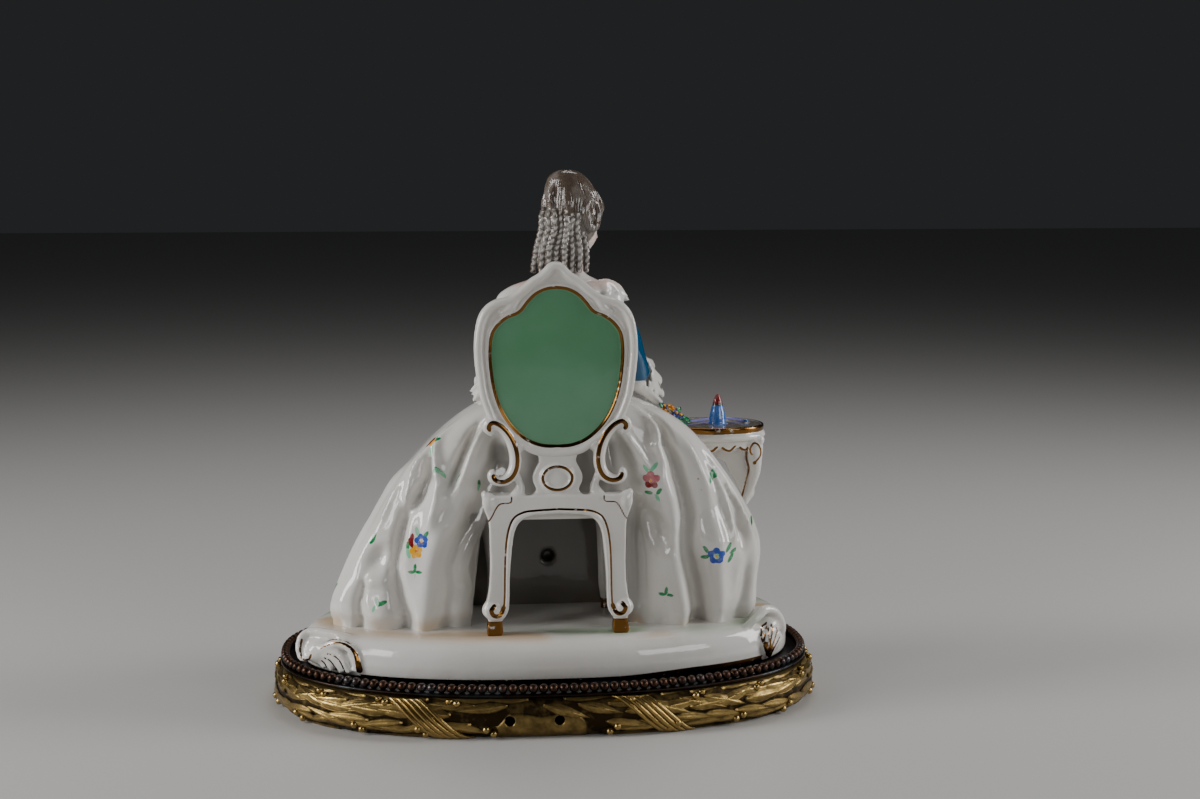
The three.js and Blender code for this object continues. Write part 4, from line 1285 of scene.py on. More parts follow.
ARCH_LINE = (
    (0, 114.6), (15, 113.8), (20.8, 112.2), (24.3, 109.4), (26.6, 103.7), (28.0, 94.6), (28.6, 80.8),
    (28.8, 69), (29.4, 61.5), (31.6, 57.4), (34.8, 57.6), (36.2, 60.4), (34.6, 62.6),
)
CORNER_LINE = (
    (24.8, 121.4), (25.2, 118.6), (28.6, 118.2), (31.4, 117.6), (33.6, 114.6), (35.4, 111), (38, 107.6),
)
FOOT_CURL = ((-5.0, -60.6, 57.5), (-1.0, -61.4, 55.9), (2.6, -61.3, 58.4), (1.6, -61.2, 61.8),
             (-1.0, -61.2, 61.0))
FRONT_LEG = ((0, 6, 112), (1.5, 10, 96), (0.5, 4, 78), (0, -2, 62), (1, 0, 53), (1, 0, BASE_TOP - 0.5))
SEAT_OUTLINE = ((-33, -55), (38, -55), (42, -20), (37, 14), (20, 20), (-14, 20), (-32, 14), (-37, -20))
EDGE_DEPTH = -60.2


def closed_rod(outline, depth, half, half_deep):
    """A rounded moulding that follows a closed [x, z] outline."""
    angle = full_turn(14)
    flat = outline[:, None] + out_of(outline)[:, None] * half * np.cos(angle)[:, None]
    deep = depth + half_deep * np.sin(angle)
    return skin([np.column_stack([ring[:, 0], deep, ring[:, 1]]) for ring in flat], loop=True)


def domed_face(outline, near, far, rise):
    """A plate whose near face swells towards the middle."""
    middle = outline.mean(0)
    layers = [at_height(outline, far)]
    for share in 1 - np.arange(14) / 14:
        layers.append(at_height(middle + (outline - middle) * share, near - rise * (1 - share ** 2)))
    return skin([layer[:, [0, 2, 1]] for layer in layers])


def on_side(stops, side):
    """Stops given from the chair's middle, set on its right (1) or left (-1)."""
    stops = np.array(stops, float)
    stops[:, 0] = side * stops[:, 0] + CHAIR_X
    return stops


def make_chair_back():
    outer = mirrored(BACK_OUTLINE, CHAIR_X - 0.4, 90) - BACK_MIDDLE
    inner = mirrored(PANEL_OUTLINE, CHAIR_X - 0.4, 80)
    parts = [
        upright_plate(BACK_MIDDLE + outer * 0.985, BACK_NEAR + 2.6, BACK_FAR),
        closed_rod(BACK_MIDDLE + outer * 0.955, BACK_NEAR + 2.3, 2.2, 2.3),
        closed_rod(BACK_MIDDLE + outer * 0.965, BACK_FAR - 1.6, 2.0, 1.6),
        closed_rod(BACK_MIDDLE + (inner - BACK_MIDDLE) * 1.02, BACK_NEAR + 2.6, 1.3, 1.5),
        domed_face(inner, BACK_NEAR + 2.2, BACK_FAR, 1.9),
    ]
    for side in (-1, 1):
        parts.append(rod(on_side(BACK_CORNER, side), (1.2, 1.9, 1.0), count=16))
    back = fused("chair_back", parts, grain=0.66, rounding=4)
    points = laid_out(back)
    edge = inside_distance(points[:, [0, 2]], inner)
    near_face = points[:, 1] < BACK_FAR - 3.2
    far_face = points[:, 1] > BACK_FAR - 1.5
    write_number(back, "gold", np.where(near_face, np.abs(edge + 0.1), FAR))
    write_number(back, "panel", np.where(near_face | far_face, edge + 0.3, FAR))
    finish_porcelain(back, "chair_back", (("panel", 0.0, "panel_green"), ("gold", 0.85, "gold")))


def foot_scroll(side):
    """The small volute where a leg meets its gilt foot."""
    x = CHAIR_X + side * 35.6
    curl = [[x + side * out, y, z] for out, y, z in FOOT_CURL]
    return [
        ball((x, -58.4, 60.0), (5.4, 4.4, 5.2)),
        rod(curl, (1.3, 1.4, 1.3, 1.1, 0.9), count=24),
        ball((x + side * 0.4, -61.2, 60.4), (1.3, 1.2, 1.3)),
    ]


def chair_front_leg(side):
    x = CHAIR_X + side * 31.5
    stops = [[x + side * out, y, z] for out, y, z in FRONT_LEG]
    return rod(stops, (6, 6.2, 4.6, 3.8, 3.8, 3.2), count=28)


def seat_side(side):
    """The pierced rail's scroll with its fillings, the leg's volute and raised edge, and a front leg."""
    scroll = on_side([(x, -57.2, z) for x, z in SCROLL_STOPS], side)
    edge = on_side([(x - 1.6, EDGE_DEPTH, z - 1.5) for x, z in ARCH_LINE[:10]], side)
    return [
        rod(scroll, SCROLL_HALF, 0.95 * np.array(SCROLL_HALF), count=70),
        rod(on_side(((24, -56.5, 137), (20, -56.5, 127), (22, -56.5, 120)), side), (2.4, 2.0, 4.4), count=16),
        rod(on_side(((24, -56.5, 144), (18.6, -56.5, 150)), side), (2.2, 4.0), count=10),
        *foot_scroll(side),
        rod(edge, 1.25, 1.1, count=60, sides=10),
        ball((CHAIR_X + side * 36.8, -58.2, 118.6), (3.8, 3.4, 5.4)),
        ball((CHAIR_X + side * 39, -57.0, 122.4), (2.0, 3.0, 2.4)),
        chair_front_leg(side),
    ]


def make_chair_seat():
    parts = [upright_plate(mirrored(LEG_OUTLINE, CHAIR_X, 150), -60.4, -53.0),
             upright_plate(mirrored(SPLAT_OUTLINE, CHAIR_X, 44), -59, -53.4)]
    parts += seat_side(-1) + seat_side(1)
    crossing = [[x, EDGE_DEPTH, 113.1] for x in np.linspace(CHAIR_X - 14, CHAIR_X + 14, 5)]
    parts.append(rod(crossing, 1.25, 1.1, count=12, sides=10))
    parts.append(ball((MEDALLION[0], -57.4, MEDALLION[1]), (MEDALLION_HALF[0], 3.2, MEDALLION_HALF[1])))
    ring = MEDALLION + oval_points(60, MEDALLION_RING, 2)
    parts.append(closed_rod(ring[::-1], -60.0, 1.4, 1.2))
    parts.append(flat_slab(SEAT_OUTLINE, 108, SEAT_TOP - 1))
    piece = fused("chair_seat_and_legs", parts, grain=0.75, rounding=3)
    points = laid_out(piece)
    lines = [(np.vstack([ring, ring[:1]]), 0.75)]
    for side in (-1, 1):
        for stops, count, half in ((ARCH_LINE, 60, 0.55), (ARCH_LINE[8:], 20, 1.15), (CORNER_LINE, 24, 0.4)):
            lines.append((smooth_path(on_side(stops, side), count), half))
        scroll = smooth_path(on_side(np.array(SCROLL_STOPS) - [0.9, 0], side), 60)
        lines.append((scroll[4:57], 1.15))
    gold = np.where(points[:, 1] < -57.0, painted_lines(points[:, [0, 2]], lines), FAR)
    feet = points[:, 2] - 54.0 + 2 * (points[:, 1] > -40)
    feet = np.where(np.abs(points[:, 0] - CHAIR_X) > 20, feet, FAR)
    write_number(piece, "gold", np.minimum(gold, feet))
    finish_porcelain(piece, "chair_seat", (("gold", 0.0, "gold"),))


# The lady: bodice, shoulders, arms with hands, sleeves and lace

TORSO = (
    # (height, middle x, middle y, half width, half depth)
    (158, 8, -24, 30, 20), (166, 8, -26, 24, 16), (173, 8, -27, 20.5, 14), (185, 8, -26, 22, 15),
    (199, 7.5, -24, 26, 18.5), (209, 7, -24, 29.5, 18.5), (219, 7, -27, 34, 15), (226, 7, -28, 34.5, 12.4),
    (231.5, 7.5, -28, 28, 10.6), (235.5, 8.4, -27.4, 17.5, 9.4), (239.5, 10, -27, 10, 8.6),
    (246, 11.4, -26, 8.4, 8.2), (254, 12.4, -25, 8.2, 8.2),
)
RIGHT_ARM = ((32, -26, 221), (42.4, -24, 203), (49.0, -15.5, 180), (53.5, -2, 177), (57.5, 13, 174))
LEFT_ARM = ((-15, -26, 217), (-22.5, -24, 201), (-26, -14, 182), (-19, 5, 175), (-10, 20, 166))
CUFF_RUFFLES = 11
CUFF_THICKNESS = 1.6
# (start centre, start radius, end centre, end long half axis, end short half axis) of each lace cuff
RIGHT_CUFFS = (
    ((51, -12.5, 182), 8.4, (58.2, -2, 178.4), (7.6, -2.5, -15.2), (5.4, 1.5, 3.0)),
    ((51, -9, 181), 7.6, (56.5, 4.5, 177), (4.6, -2.0, -11.6), (6.0, 2.5, 2.2)),
)
LEFT_CUFFS = (
    ((-25, -11, 182), 8.0, (-30.0, -2, 174), (-6.4, -2.0, -9.6), (8.0, 2.0, -3.6)),
    ((-23, -7, 181), 7.4, (-25.0, 5, 173), (-5.0, -2.0, -8.6), (6.6, 3.0, -3.0)),
)
RIGHT_HAND = ((60.5, 23, 169.5), (0.3, 0.88, -0.36))
LEFT_HAND = ((2, 27, 161.5), (0.85, 0.5, -0.15))


def torso():
    rings = []
    for z, x, y, half_x, half_y in smooth_path(TORSO, 60):
        ring = oval_points(96, (half_x, half_y), 2.15)
        bosom = 5.0 * bump((z - 211) / 9) * (bump((ring[:, 0] - 10) / 9) + bump((ring[:, 0] + 10) / 9))
        forward = np.clip(ring[:, 1] / half_y, 0, 1)
        ring += [x, y]
        ring[:, 1] += bosom * forward
        rings.append(at_height(ring, z))
    return skin(rings)


def lace_cuff(start, radius, end, long_axis, short_axis):
    """A ruffled cuff from a round wrist to an oval free edge with scallops."""
    start, end, long_axis, short_axis = (np.array(v, float) for v in (start, end, long_axis, short_axis))
    shares = np.linspace(0, 1, 9)
    rings = []
    for angle in full_turn(220):
        out = math.cos(angle) * long_axis + math.sin(angle) * short_axis
        narrow = math.cos(angle) * unit(long_axis) + math.sin(angle) * unit(short_axis)
        wave = math.sin(CUFF_RUFFLES * angle)
        section = []
        for surface in (1, -1):
            for share in shares[::surface]:
                ease = 1 + 0.05 * math.cos(2 * CUFF_RUFFLES * angle) * share
                middle = start + (end - start) * share * ease
                reach = narrow * radius * (1 - share) + out * share ** 0.85
                reach = reach + unit(out) * (1.25 * wave * share + surface * CUFF_THICKNESS / 2)
                section.append(middle + reach)
        rings.append(section)
    return skin(rings, loop=True)


BODICE_X = 7.5
WAIST_Z = 175
NECK_LACE = (
    (7, -39, 229.5), (20, -37.5, 232.5), (31.5, -33, 234.5), (39.4, -26, 230.6), (38.8, -17, 226),
    (31, -8.5, 217.5), (18, -5, 212), (7.5, -7.5, 210), (-3, -5, 211), (-15, -8.5, 213), (-25, -18, 217),
    (-26, -28, 220.5), (-18, -35, 224), (-6, -38.5, 227),
)


NECK_LACE_MIDDLE = (7, -24)
NECK_LACE_FRILLS = 26
NECK_LACE_RINGS = 240


def neck_lace():
    """A soft lace frill that lies along the low neckline and over the shoulders."""
    rings = []
    for k, middle in enumerate(smooth_path(NECK_LACE + NECK_LACE[:1], NECK_LACE_RINGS + 1)[:-1]):
        across, ahead = middle[:2] - NECK_LACE_MIDDLE
        out = unit([across, ahead * 1.4, 0.0])
        down = unit(np.array([0, 0, -1.0]) + out * 0.55)
        wave = math.sin(k * FULL * NECK_LACE_FRILLS / NECK_LACE_RINGS)
        fall = 6.2 + 0.8 * wave
        section = []
        for share in (0.0, 0.35, 0.7, 1.0):
            section.append(middle + down * fall * share + out * (1.9 + 0.7 * wave * share))
        for share in (1.0, 0.7, 0.35, 0.0):
            section.append(middle + down * fall * share + out * (-1.5 + 0.5 * wave * share))
        section.append(middle + [0, 0, 1.7] + out * 0.2)
        rings.append(section)
    return skin(rings, loop=True)


def hand(centre, direction, thumb_side):
    forward = unit(direction)
    side = unit(np.cross(forward, [0, 0, 1.0]))
    over = np.cross(side, forward)

    def at(*stops):
        return [np.array(centre, float) + forward * x + side * y + over * z for x, y, z in stops]

    palm = at((-9, 0, 0.4), (-4, 0, 0.4), (0, 0, 0.2), (3.4, 0, -0.2))
    parts = [rod(palm, (3.0, 3.5, 4.3, 3.6), (2.5, 2.4, 2.2, 1.8), count=20)]
    for k, length in enumerate((7.6, 9.0, 8.6, 6.8)):
        across = -3.3 + 2.15 * k
        bend = 1.0 + 0.5 * k
        finger = at((2, across * 0.9, 0), (2 + length * 0.5, across * 1.1, 0.2),
                    (2 + length * 0.85, across * 1.15, -bend * 0.8), (2 + length, across * 1.15, -bend * 1.5))
        parts.append(rod(finger, (1.35, 1.25, 1.1, 0.85), count=16, sides=12))
    thumb = at((-4, 2.6 * thumb_side, 0), (-0.5, 5.0 * thumb_side, -0.4), (3.4, 5.6 * thumb_side, -1.4))
    parts.append(rod(thumb, (1.6, 1.5, 1.0), count=14, sides=12))
    return parts


def sleeve(path, creases):
    """A fitted sleeve that widens a little to the elbow and ends straight across."""
    points, faces = rod(path, (9.4, 9.2, 9.0, 9.2, 9.9), (8.8, 9.0, 8.8, 8.8, 9.4), count=44, sides=48)
    ripple = 0.35 * np.sin(points[:, 2] * 0.45 + points[:, 0] * 0.3 + creases)
    points = points + (points - np.asarray(path, float).mean(0)) * (ripple / 30)[:, None]
    return points, faces


def bodice_ribbons():
    """Four small bows down the front of the bodice."""
    parts = []
    for k in range(4):
        z = 212 - 9 * k
        y = -8 + 4 * bump((z - 209) / 9)
        parts += [ball((BODICE_X + side * 4.1, y - 0.6, z), (4.2, 2.0, 2.8)) for side in (-1, 1)]
        parts.append(ball((BODICE_X, y + 0.2, z), (1.7, 2.0, 1.7)))
    return parts


def make_lady():
    parts = [torso(), neck_lace()]
    for arm, hand_place, cuffs, thumb in ((RIGHT_ARM, RIGHT_HAND, RIGHT_CUFFS, 1),
                                          (LEFT_ARM, LEFT_HAND, LEFT_CUFFS, -1)):
        parts.append(sleeve(arm[:3], arm[0][0]))
        wrist = np.subtract(hand_place[0], 4 * unit(hand_place[1]))
        parts.append(rod([*arm[1:], wrist], (6.5, 6.4, 4.8, 3.5, 3.2), (6.5, 6.2, 4.5, 3.0, 2.4), count=44))
        parts += [lace_cuff(*cuff) for cuff in cuffs]
        parts += hand(*hand_place, thumb)
    piece = fused("lady_figure", parts + bodice_ribbons(), grain=0.95, rounding=2)
    colour_lady(piece)
    finish_porcelain(piece, "lady", (("sleeve", 0.0, "teal"), ("gold", 0.4, "gold")), SKIN_TINTS)


def colour_lady(piece):
    """Teal sleeves and bodice round a white front edged in gold, and a blush on the bare skin."""
    points = laid_out(piece)
    x, y, z = points.T
    sleeves = np.full(len(points), FAR)
    for arm in (RIGHT_ARM, LEFT_ARM):
        path = smooth_path(arm[:3], 40)
        lace = (points - path[-1]) @ unit(np.subtract(arm[3], arm[2])) - 7.0
        limits = [line_distance(points, path) - 10.6, arm[2][2] - 1.2 - z, z - 224, lace]
        sleeves = np.minimum(sleeves, np.max(limits, axis=0))
    off_middle = np.abs(x - BODICE_X)
    half_front = 5 + 0.16 * (z - WAIST_Z)
    lace_front = np.array(sorted((stop[0], stop[2]) for stop in NECK_LACE if stop[1] > -24))
    neckline = np.minimum(np.interp(x, *lace_front.T) - 1.5, 222.5)
    neckline = 222.5 + (neckline - 222.5) * steps(y, -26, -20)
    bodice = np.max([off_middle - 30, z - neckline, WAIST_Z + 1 - z], axis=0)
    bodice = np.where((y > -22) & (off_middle < half_front), FAR, bodice)
    write_number(piece, "sleeve", np.maximum(np.minimum(sleeves, bodice), z - neckline))
    edged = (y > -22) & (z < 210) & (z > WAIST_Z + 1)
    write_number(piece, "gold", np.where(edged, np.abs(off_middle - half_front), FAR))
    bare = steps(z, 229, 233) * (np.abs(x - 9) < 34)
    for centre, _ in (RIGHT_HAND, LEFT_HAND):
        bare = np.maximum(bare, 1 - steps(np.linalg.norm(points - np.array(centre), axis=1), 11, 16))
    patches = 0.55 + 0.45 * evaluate_noise(points, 22, 11)
    write_number(piece, "blush", np.clip(bare * patches, 0, 1) * 0.62)


# Head with dressed hair: the face turns to her right and a little down

HEAD = np.array([16.4, -22.0, 262.8])
HEAD_TURN = math.radians(58)
HEAD_PITCH = math.radians(10)
FORWARD = np.array([math.sin(HEAD_TURN) * math.cos(HEAD_PITCH), math.cos(HEAD_TURN) * math.cos(HEAD_PITCH),
                    -math.sin(HEAD_PITCH)])
RIGHTWARD = np.array([math.cos(HEAD_TURN), -math.sin(HEAD_TURN), 0.0])
UPWARD = np.cross(RIGHTWARD, FORWARD)
FACE_HALF = (10.6, 12.0, 16.2)

# Face features: (across, up) on the face in mm, spread across and up, push forward in mm.
# Everyday proportions: eyes halfway up the head, nose a third below, mouth a third further.
FACE_FEATURES = (
    (0.0, 8.6, 7.5, 3.2, 0.5), (0.0, 3.3, 1.9, 1.7, 0.35), (0.0, 0.4, 1.25, 2.8, 1.5),
    (0.0, -2.0, 1.25, 1.8, 2.0), (0.0, -3.3, 1.5, 1.1, 1.9), (1.25, -3.7, 0.8, 0.75, 0.9),
    (0.0, -6.7, 2.3, 0.62, 0.75), (0.0, -8.25, 1.9, 0.7, 0.95), (0.0, -7.5, 2.9, 0.24, -0.55),
    (0.0, -9.7, 2.4, 0.6, -0.65), (0.0, -12.0, 2.5, 1.7, 1.25), (3.9, 2.6, 3.2, 0.95, 0.55),
    (3.95, 0.2, 2.2, 1.5, -1.25), (3.95, 0.2, 1.35, 0.85, 0.95), (3.95, 1.0, 1.7, 0.22, 0.24),
    (3.95, -0.75, 1.6, 0.2, 0.2), (6.4, -4.6, 2.6, 2.8, 0.6), (2.9, -6.8, 0.7, 1.6, -0.28),
)


def from_head(local):
    """Head-local (right, forward, up) to the layout."""
    local = np.asarray(local, float)
    return HEAD + local[..., :1] * RIGHTWARD + local[..., 1:2] * FORWARD + local[..., 2:3] * UPWARD


def into_head(points):
    away = points - HEAD
    return np.stack([away @ RIGHTWARD, away @ FORWARD, away @ UPWARD], 1)


def face_skin(columns=240, rows=190):
    angle = full_turn(columns)
    rings = []
    for polar in math.pi * np.arange(1, rows) / rows:
        x = np.sin(polar) * np.cos(angle)
        y = np.sin(polar) * np.sin(angle)
        down = -np.full(columns, math.cos(polar))
        right = x * FACE_HALF[0] * (1 - 0.30 * steps(down, 0.25, 1.0))
        ahead = y * FACE_HALF[1] * (1 - 0.12 * steps(down, 0.4, 1.0))
        ahead = ahead + 1.6 * steps(down, 0.2, 0.9) * np.clip(y, 0, 1)
        up = -down * FACE_HALF[2]
        push = np.zeros(columns)
        for across, high, wide, tall, amount in FACE_FEATURES:
            for side in ((1, -1) if across else (1,)):
                push = push + amount * bump((right - side * across) / wide) * bump((up - high) / tall)
        rings.append(from_head(np.stack([right, ahead + push * steps(y, 0.05, 0.45), up], 1)))
    return skin(rings)


RINGLET_COUNT = 8
RINGLET_TOP_X = (-3.6, 18.8)
RINGLET_END_X = (-8.6, 20.4)
RINGLET_HALF = ((1.5, 2.1, 2.15, 2.15, 2.15, 2.1, 1.7), (1.3, 1.8, 1.85, 1.85, 1.85, 1.75, 1.4))


def ringlet_path(k):
    share = k / (RINGLET_COUNT - 1)
    top, end = (low + (high - low) * share for low, high in (RINGLET_TOP_X, RINGLET_END_X))
    back = -34.6 - 4.6 * math.sqrt(1 - (2 * share - 1) ** 2 * 0.98) + 0.7 * (k % 2)
    sway = 0.7 * math.sin(7 * k)
    return [[top * 0.9 + 1.4, back + 5.0, 274], [top + 0.3, back + 0.8, 269], [top + sway, back, 263],
            [top * 0.45 + end * 0.55 - sway, back - 0.4, 252], [end, back - 0.6, 239.5]]


def ringlet_turns(k):
    return 5.5 + 0.7 * math.sin(5 * k)


def ringlets():
    """Twisted side curls: each is a two-lobed rod turned many times round its own middle."""
    return [rod(ringlet_path(k), *RINGLET_HALF, count=260, sides=20, turns=ringlet_turns(k))
            for k in range(RINGLET_COUNT)]


HAIR_ROWS = (
    # (height, middle x, middle y, half width, half depth)
    (252, 12.6, -25, 8, 8), (257, 13.4, -25.4, 11.0, 10.4), (262, 14.0, -25.4, 13.0, 12.2),
    (267, 14.0, -25, 14.6, 13.4), (271.4, 14.0, -24.6, 15.4, 14.0), (276, 13.9, -24.2, 15.4, 14.2),
    (280.3, 13.4, -24, 14.9, 13.8), (284.7, 12.4, -24, 13.3, 12.8), (288, 11.7, -24.4, 11.7, 11.4),
    (290.6, 11.1, -24.8, 9.9, 9.8), (293.0, 10.8, -25.4, 6.8, 7.2), (294.2, 10.8, -25.8, 3.4, 3.8),
)


LOCKS = (
    # (three places from the temple to the crown, half width)
    ((27.6, -24, 266), (27.4, -28, 276), (19.0, -30, 288), 3.2),
    ((28.6, -17, 268), (26.8, -17, 279), (18.0, -21, 290), 3.6),
    ((22.0, -36, 268), (21.4, -35, 278), (14.0, -32.4, 290), 2.6),
    ((3.0, -34.6, 270), (2.8, -33.4, 280), (7.8, -30.6, 290.6), 3.0),
    ((-1.0, -27, 268), (-0.2, -26, 279), (6.4, -26, 290.6), 2.4),
    ((12.0, -38, 268), (11.4, -36.6, 279), (11.0, -32.0, 291.6), 3.4),
)
HAIRLINE = (
    (-9.9, 8.6), (-8.6, 11.2), (-5, 12.6), (0, 13.2), (5, 12.6), (8.6, 11.2), (9.9, 8.6), (10.4, 2),
    (10.3, -5), (9.2, -9.5), (5, -14.4), (0, -16), (-5, -14.4), (-9.2, -9.5), (-10.3, -5), (-10.4, 2),
)
NECK = ((12, -26.6, 238), (12.2, -26, 246), (13.8, -23.8, 256))


def hair_mass():
    """Hair combed up and back over a pad, highest behind the crown, falling to the brow."""
    return skin([at_height(oval_points(110, (half_x, half_y), 2.05) + [x, y], z)
                 for z, x, y, half_x, half_y in smooth_path(HAIR_ROWS, 64)])


def swept_locks():
    """Broad locks combed from the temples up over the crown, with furrows between them."""
    return [rod(stops, (1.2, half, half, 1.2), (1.0, 1.9, 1.9, 1.0), count=26, sides=20)
            for *stops, half in LOCKS]


EAR_ROLL = np.array([23.6, -34.0, 270.6])


def ear_roll(side):
    """A loop of hair rolled over each ear, open in its middle."""
    middle = into_head(EAR_ROLL[None])[0]
    stops = []
    for angle in np.linspace(0.3, FULL + 0.1, 15):
        forward = math.sin(angle) * 4.0 - math.cos(angle) * 1.2
        stops.append((side * (middle[0] + 0.2), middle[1] + forward - 0.6, middle[2] + math.cos(angle) * 7.4))
    inner = from_head([side * (middle[0] - 0.4), middle[1] - 0.4, middle[2]])
    return [rod(from_head(stops), (2.0, 2.5, 2.8, 2.6, 2.2), count=60), ball(inner, (2.2, 2.6, 5.8))]


def front_rolls():
    """Three rolls of hair over the brow."""
    rolls = []
    for k in range(3):
        stops = [(x, 9.6 - 1.3 * abs(x) / 9 * 2 - 1.2 * k, 10.6 + 2.8 * k - abs(x) * 0.16)
                 for x in (-9.5, -5, 0, 5, 9.5)]
        rolls.append(rod(from_head(stops), (1.3, 2.0, 2.2, 2.0, 1.3), count=30))
    return rolls


def make_head():
    parts = [face_skin(), hair_mass(), *swept_locks(), rod(NECK, (6.4, 7.0, 7.6), count=16, sides=32)]
    parts += ear_roll(1) + ear_roll(-1) + ringlets() + front_rolls()
    piece = fused("head_and_hair", parts, grain=0.46, rounding=1)
    local = into_head(laid_out(piece))
    comb_hair(piece, local)
    paint_face(piece, local)
    finish_porcelain(piece, "head", (("eye_dark", 0.0, "ink"), ("lips", 0.0, "rose")), SKIN_TINTS, True)


def comb_ringlet(points, k):
    """The vertices of one ringlet, how deep each lies in the twist and towards the ringlet's sides, low on
    the crests where the brushwork paints a highlight, and its combing.
    """
    path = smooth_path(ringlet_path(k), 120)
    _, side, over = path_frames(path)
    index = np.where((points[:, 2] < 273.5) & (points[:, 1] < -28))[0]
    gap = np.linalg.norm(points[index, None] - path[None], axis=2)
    close = gap.min(1) < 2.5
    index = index[close]
    near = gap.argmin(1)[close]
    away = points[index] - path[near]
    angle = np.arctan2((away * over[near]).sum(1), (away * side[near]).sum(1))
    phase = 2 * (angle - FULL * ringlet_turns(k) * near / (len(path) - 1))
    # low on each crest for a painted highlight, high in the twist's grooves and at the ringlet's sides
    groove = -np.cos(phase) * 0.3 + 1.3 * steps(np.abs(away[:, 0]), 0.5, 1.6) - 0.55
    return index, groove, 26 * angle / FULL + points[index, 2] * 1.1


def comb_hair(piece, local):
    """Fine combed lines pressed into the hair, and the attributes its brushwork follows, with a painted
    highlight down the ringlets' crests.
    """
    points = laid_out(piece)
    face = (inside_distance(local[:, [0, 2]], np.array(HAIRLINE)) < 0) & (local[:, 1] > 1.5)
    neck = (points[:, 2] < 254) & (np.linalg.norm(points[:, :2] - [13.2, -24.4], axis=1) < 8.9)
    hair = 1.0 - (face | neck)
    crown = points - [11.0, -27.0, 291.0]
    combed = np.arctan2(crown[:, 0], -crown[:, 1]) * 16.0
    groove = np.full(len(points), -0.2)
    for k in range(RINGLET_COUNT):
        index, *values = comb_ringlet(points, k)
        groove[index], combed[index] = values
    fine = 0.1 * np.sin(combed * 3.1 + 1.3 * evaluate_noise(points, 9, 21)) * hair
    normals = np.zeros(len(points) * 3, np.float32)
    piece.data.vertices.foreach_get("normal", normals)
    normals = normals.reshape(-1, 3).astype(float) * np.sign(TURNED)
    move_to(piece, points + normals * (fine - 0.12 * np.clip(groove, 0, 1))[:, None])
    write_number(piece, "hair", hair)
    write_number(piece, "comb", combed)
    write_number(piece, "groove", groove)


def paint_face(piece, local):
    """Dark brows, lids and eyes, rosy lips and a blush on the cheeks and the neck."""
    flat = local[:, [0, 2]]
    front = local[:, 1] > 2
    lines = []
    eyes = np.full(len(local), FAR)
    for side in (-1, 1):
        lines.append(([(side * 2.0, 3.1), (side * 3.8, 3.8), (side * 5.9, 3.2)], 0.2))
        lines.append(([(side * 2.3, 0.5), (side * 3.3, 1.05), (side * 4.6, 1.0), (side * 5.5, 0.35)], 0.16))
        eyes = np.minimum(eyes, ellipse_gap(*flat.T, (side * 3.95, 0.25), (0.62, 0.68), 0))
    write_number(piece, "eye_dark", np.where(front, np.minimum(painted_lines(flat, lines), eyes), FAR))
    write_number(piece, "lips", np.where(front, ellipse_gap(*flat.T, (0, -7.5), (2.1, 0.95), 0), FAR))
    cheek = bump((np.abs(local[:, 0]) - 6.2) / 2.6) * bump((local[:, 2] + 4.6) / 2.8) * front
    hair = np.zeros(len(local), np.float32)
    piece.data.attributes["hair"].data.foreach_get("value", hair)
    write_number(piece, "blush", (1 - hair) * np.clip(0.18 + 0.55 * cheek, 0, 1))


# Dressing table with a scent bottle and a ribbon lying on its top

TABLE_HALF = (30.8, 25.4)
TABLE_PROFILE = (
    # (height under the top, inset from the plan)
    (-15.5, 13.0), (-12.0, 6.0), (-11.2, 4.6), (-10.2, 3.6), (-9.5, 3.7), (-9.1, 5.0), (-8.7, 2.2),
    (-7.9, 0.8), (-6.6, 0.0), (-5.4, 0.1), (-4.6, 0.7), (-4.1, 1.7), (-3.7, 1.7), (-3.2, 1.1),
    (-1.0, 0.9), (-0.3, 1.3), (-0.1, 1.9), (-0.3, 2.7), (-0.8, 3.1), (-0.8, 18.0),
)
TABLE_LEGS = (
    ((123.4, 17, 141), (123.3, 17, 133), (123.4, 17, 126.7), (123.6, 17, 119.8), (122.4, 17.5, 114),
     (120, 18.5, 107.2), (118, 19.5, 102), (113.6, 25, 72), (115, 28, 46)),
    ((100, 56, 141), (100, 56, 133), (100.2, 56.2, 126.7), (99.6, 56, 119.8), (98.2, 55, 114),
     (96.2, 53, 107.2), (94.6, 51, 102), (92, 47, 72), (94, 49, 46)),
    ((78, 14, 141), (78, 14, 133), (78, 15, 126.7), (78.4, 16, 119.8), (79.2, 18, 114), (80.2, 20, 107.2),
     (81, 22, 102), (81, 28, 72), (79, 26, 46)),
)
TABLE_LEG_HALF = (5.0, 5.1, 4.2, 2.9, 2.5, 2.3, 2.2, 2.2, 2.2, 2.3, 2.5, 2.7, 3.1)
TABLE_BOARD = ((98, 134), (102.2, 128), (106.5, 125.4), (109.2, 119.5), (112.4, 114.7), (115.4, 108.3),
               (119, 99), (124, 106), (125.5, 134))
SCALLOP_LENGTH = 10.3
SCALLOP_DROP = 2.6
APRON_INSET = 5.4
APRON_LOW = TABLE_TOP - 12.4
# lines on a leg's broad face, across and up from the middle of its knee
KNEE_HEIGHT = 131.0
KNEE_CURL = ((-2.0, -0.6), (-2.9, 0.8), (-3.0, 3.2), (-1.2, 6.2), (1.2, 5.4), (3.0, 2.4), (2.9, -1.4),
             (0.6, -4.2))
KNEE_DOT = (-0.4, -5.4)
LEG_LINE = ((-4.6, 2.4), (-4.7, -3.0), (-3.4, -8.4), (-3.6, -13.0), (-4.7, -17.4), (-6.4, -24.0),
            (-8.0, -30.0))
BOTTLE = (103.7, 29.5)
BOTTLE_BODY = ((4.9, 0), (5.15, 0.7), (4.9, 3.2), (4.2, 7.4), (3.3, 10.9), (2.8, 12.0))
BOTTLE_STOPPER = ((2.4, 11.4), (2.9, 12.4), (2.7, 13.7), (1.6, 16.2), (0.6, 18.0))
NECK_HEIGHT = (11.6, 12.4)
CORD = ((84, 32), (88, 36), (95, 41), (102, 45), (110.4, 46.6), (115.4, 43.6), (118.8, 39), (120.6, 35))
CORD_END = (121.4, 33.2)
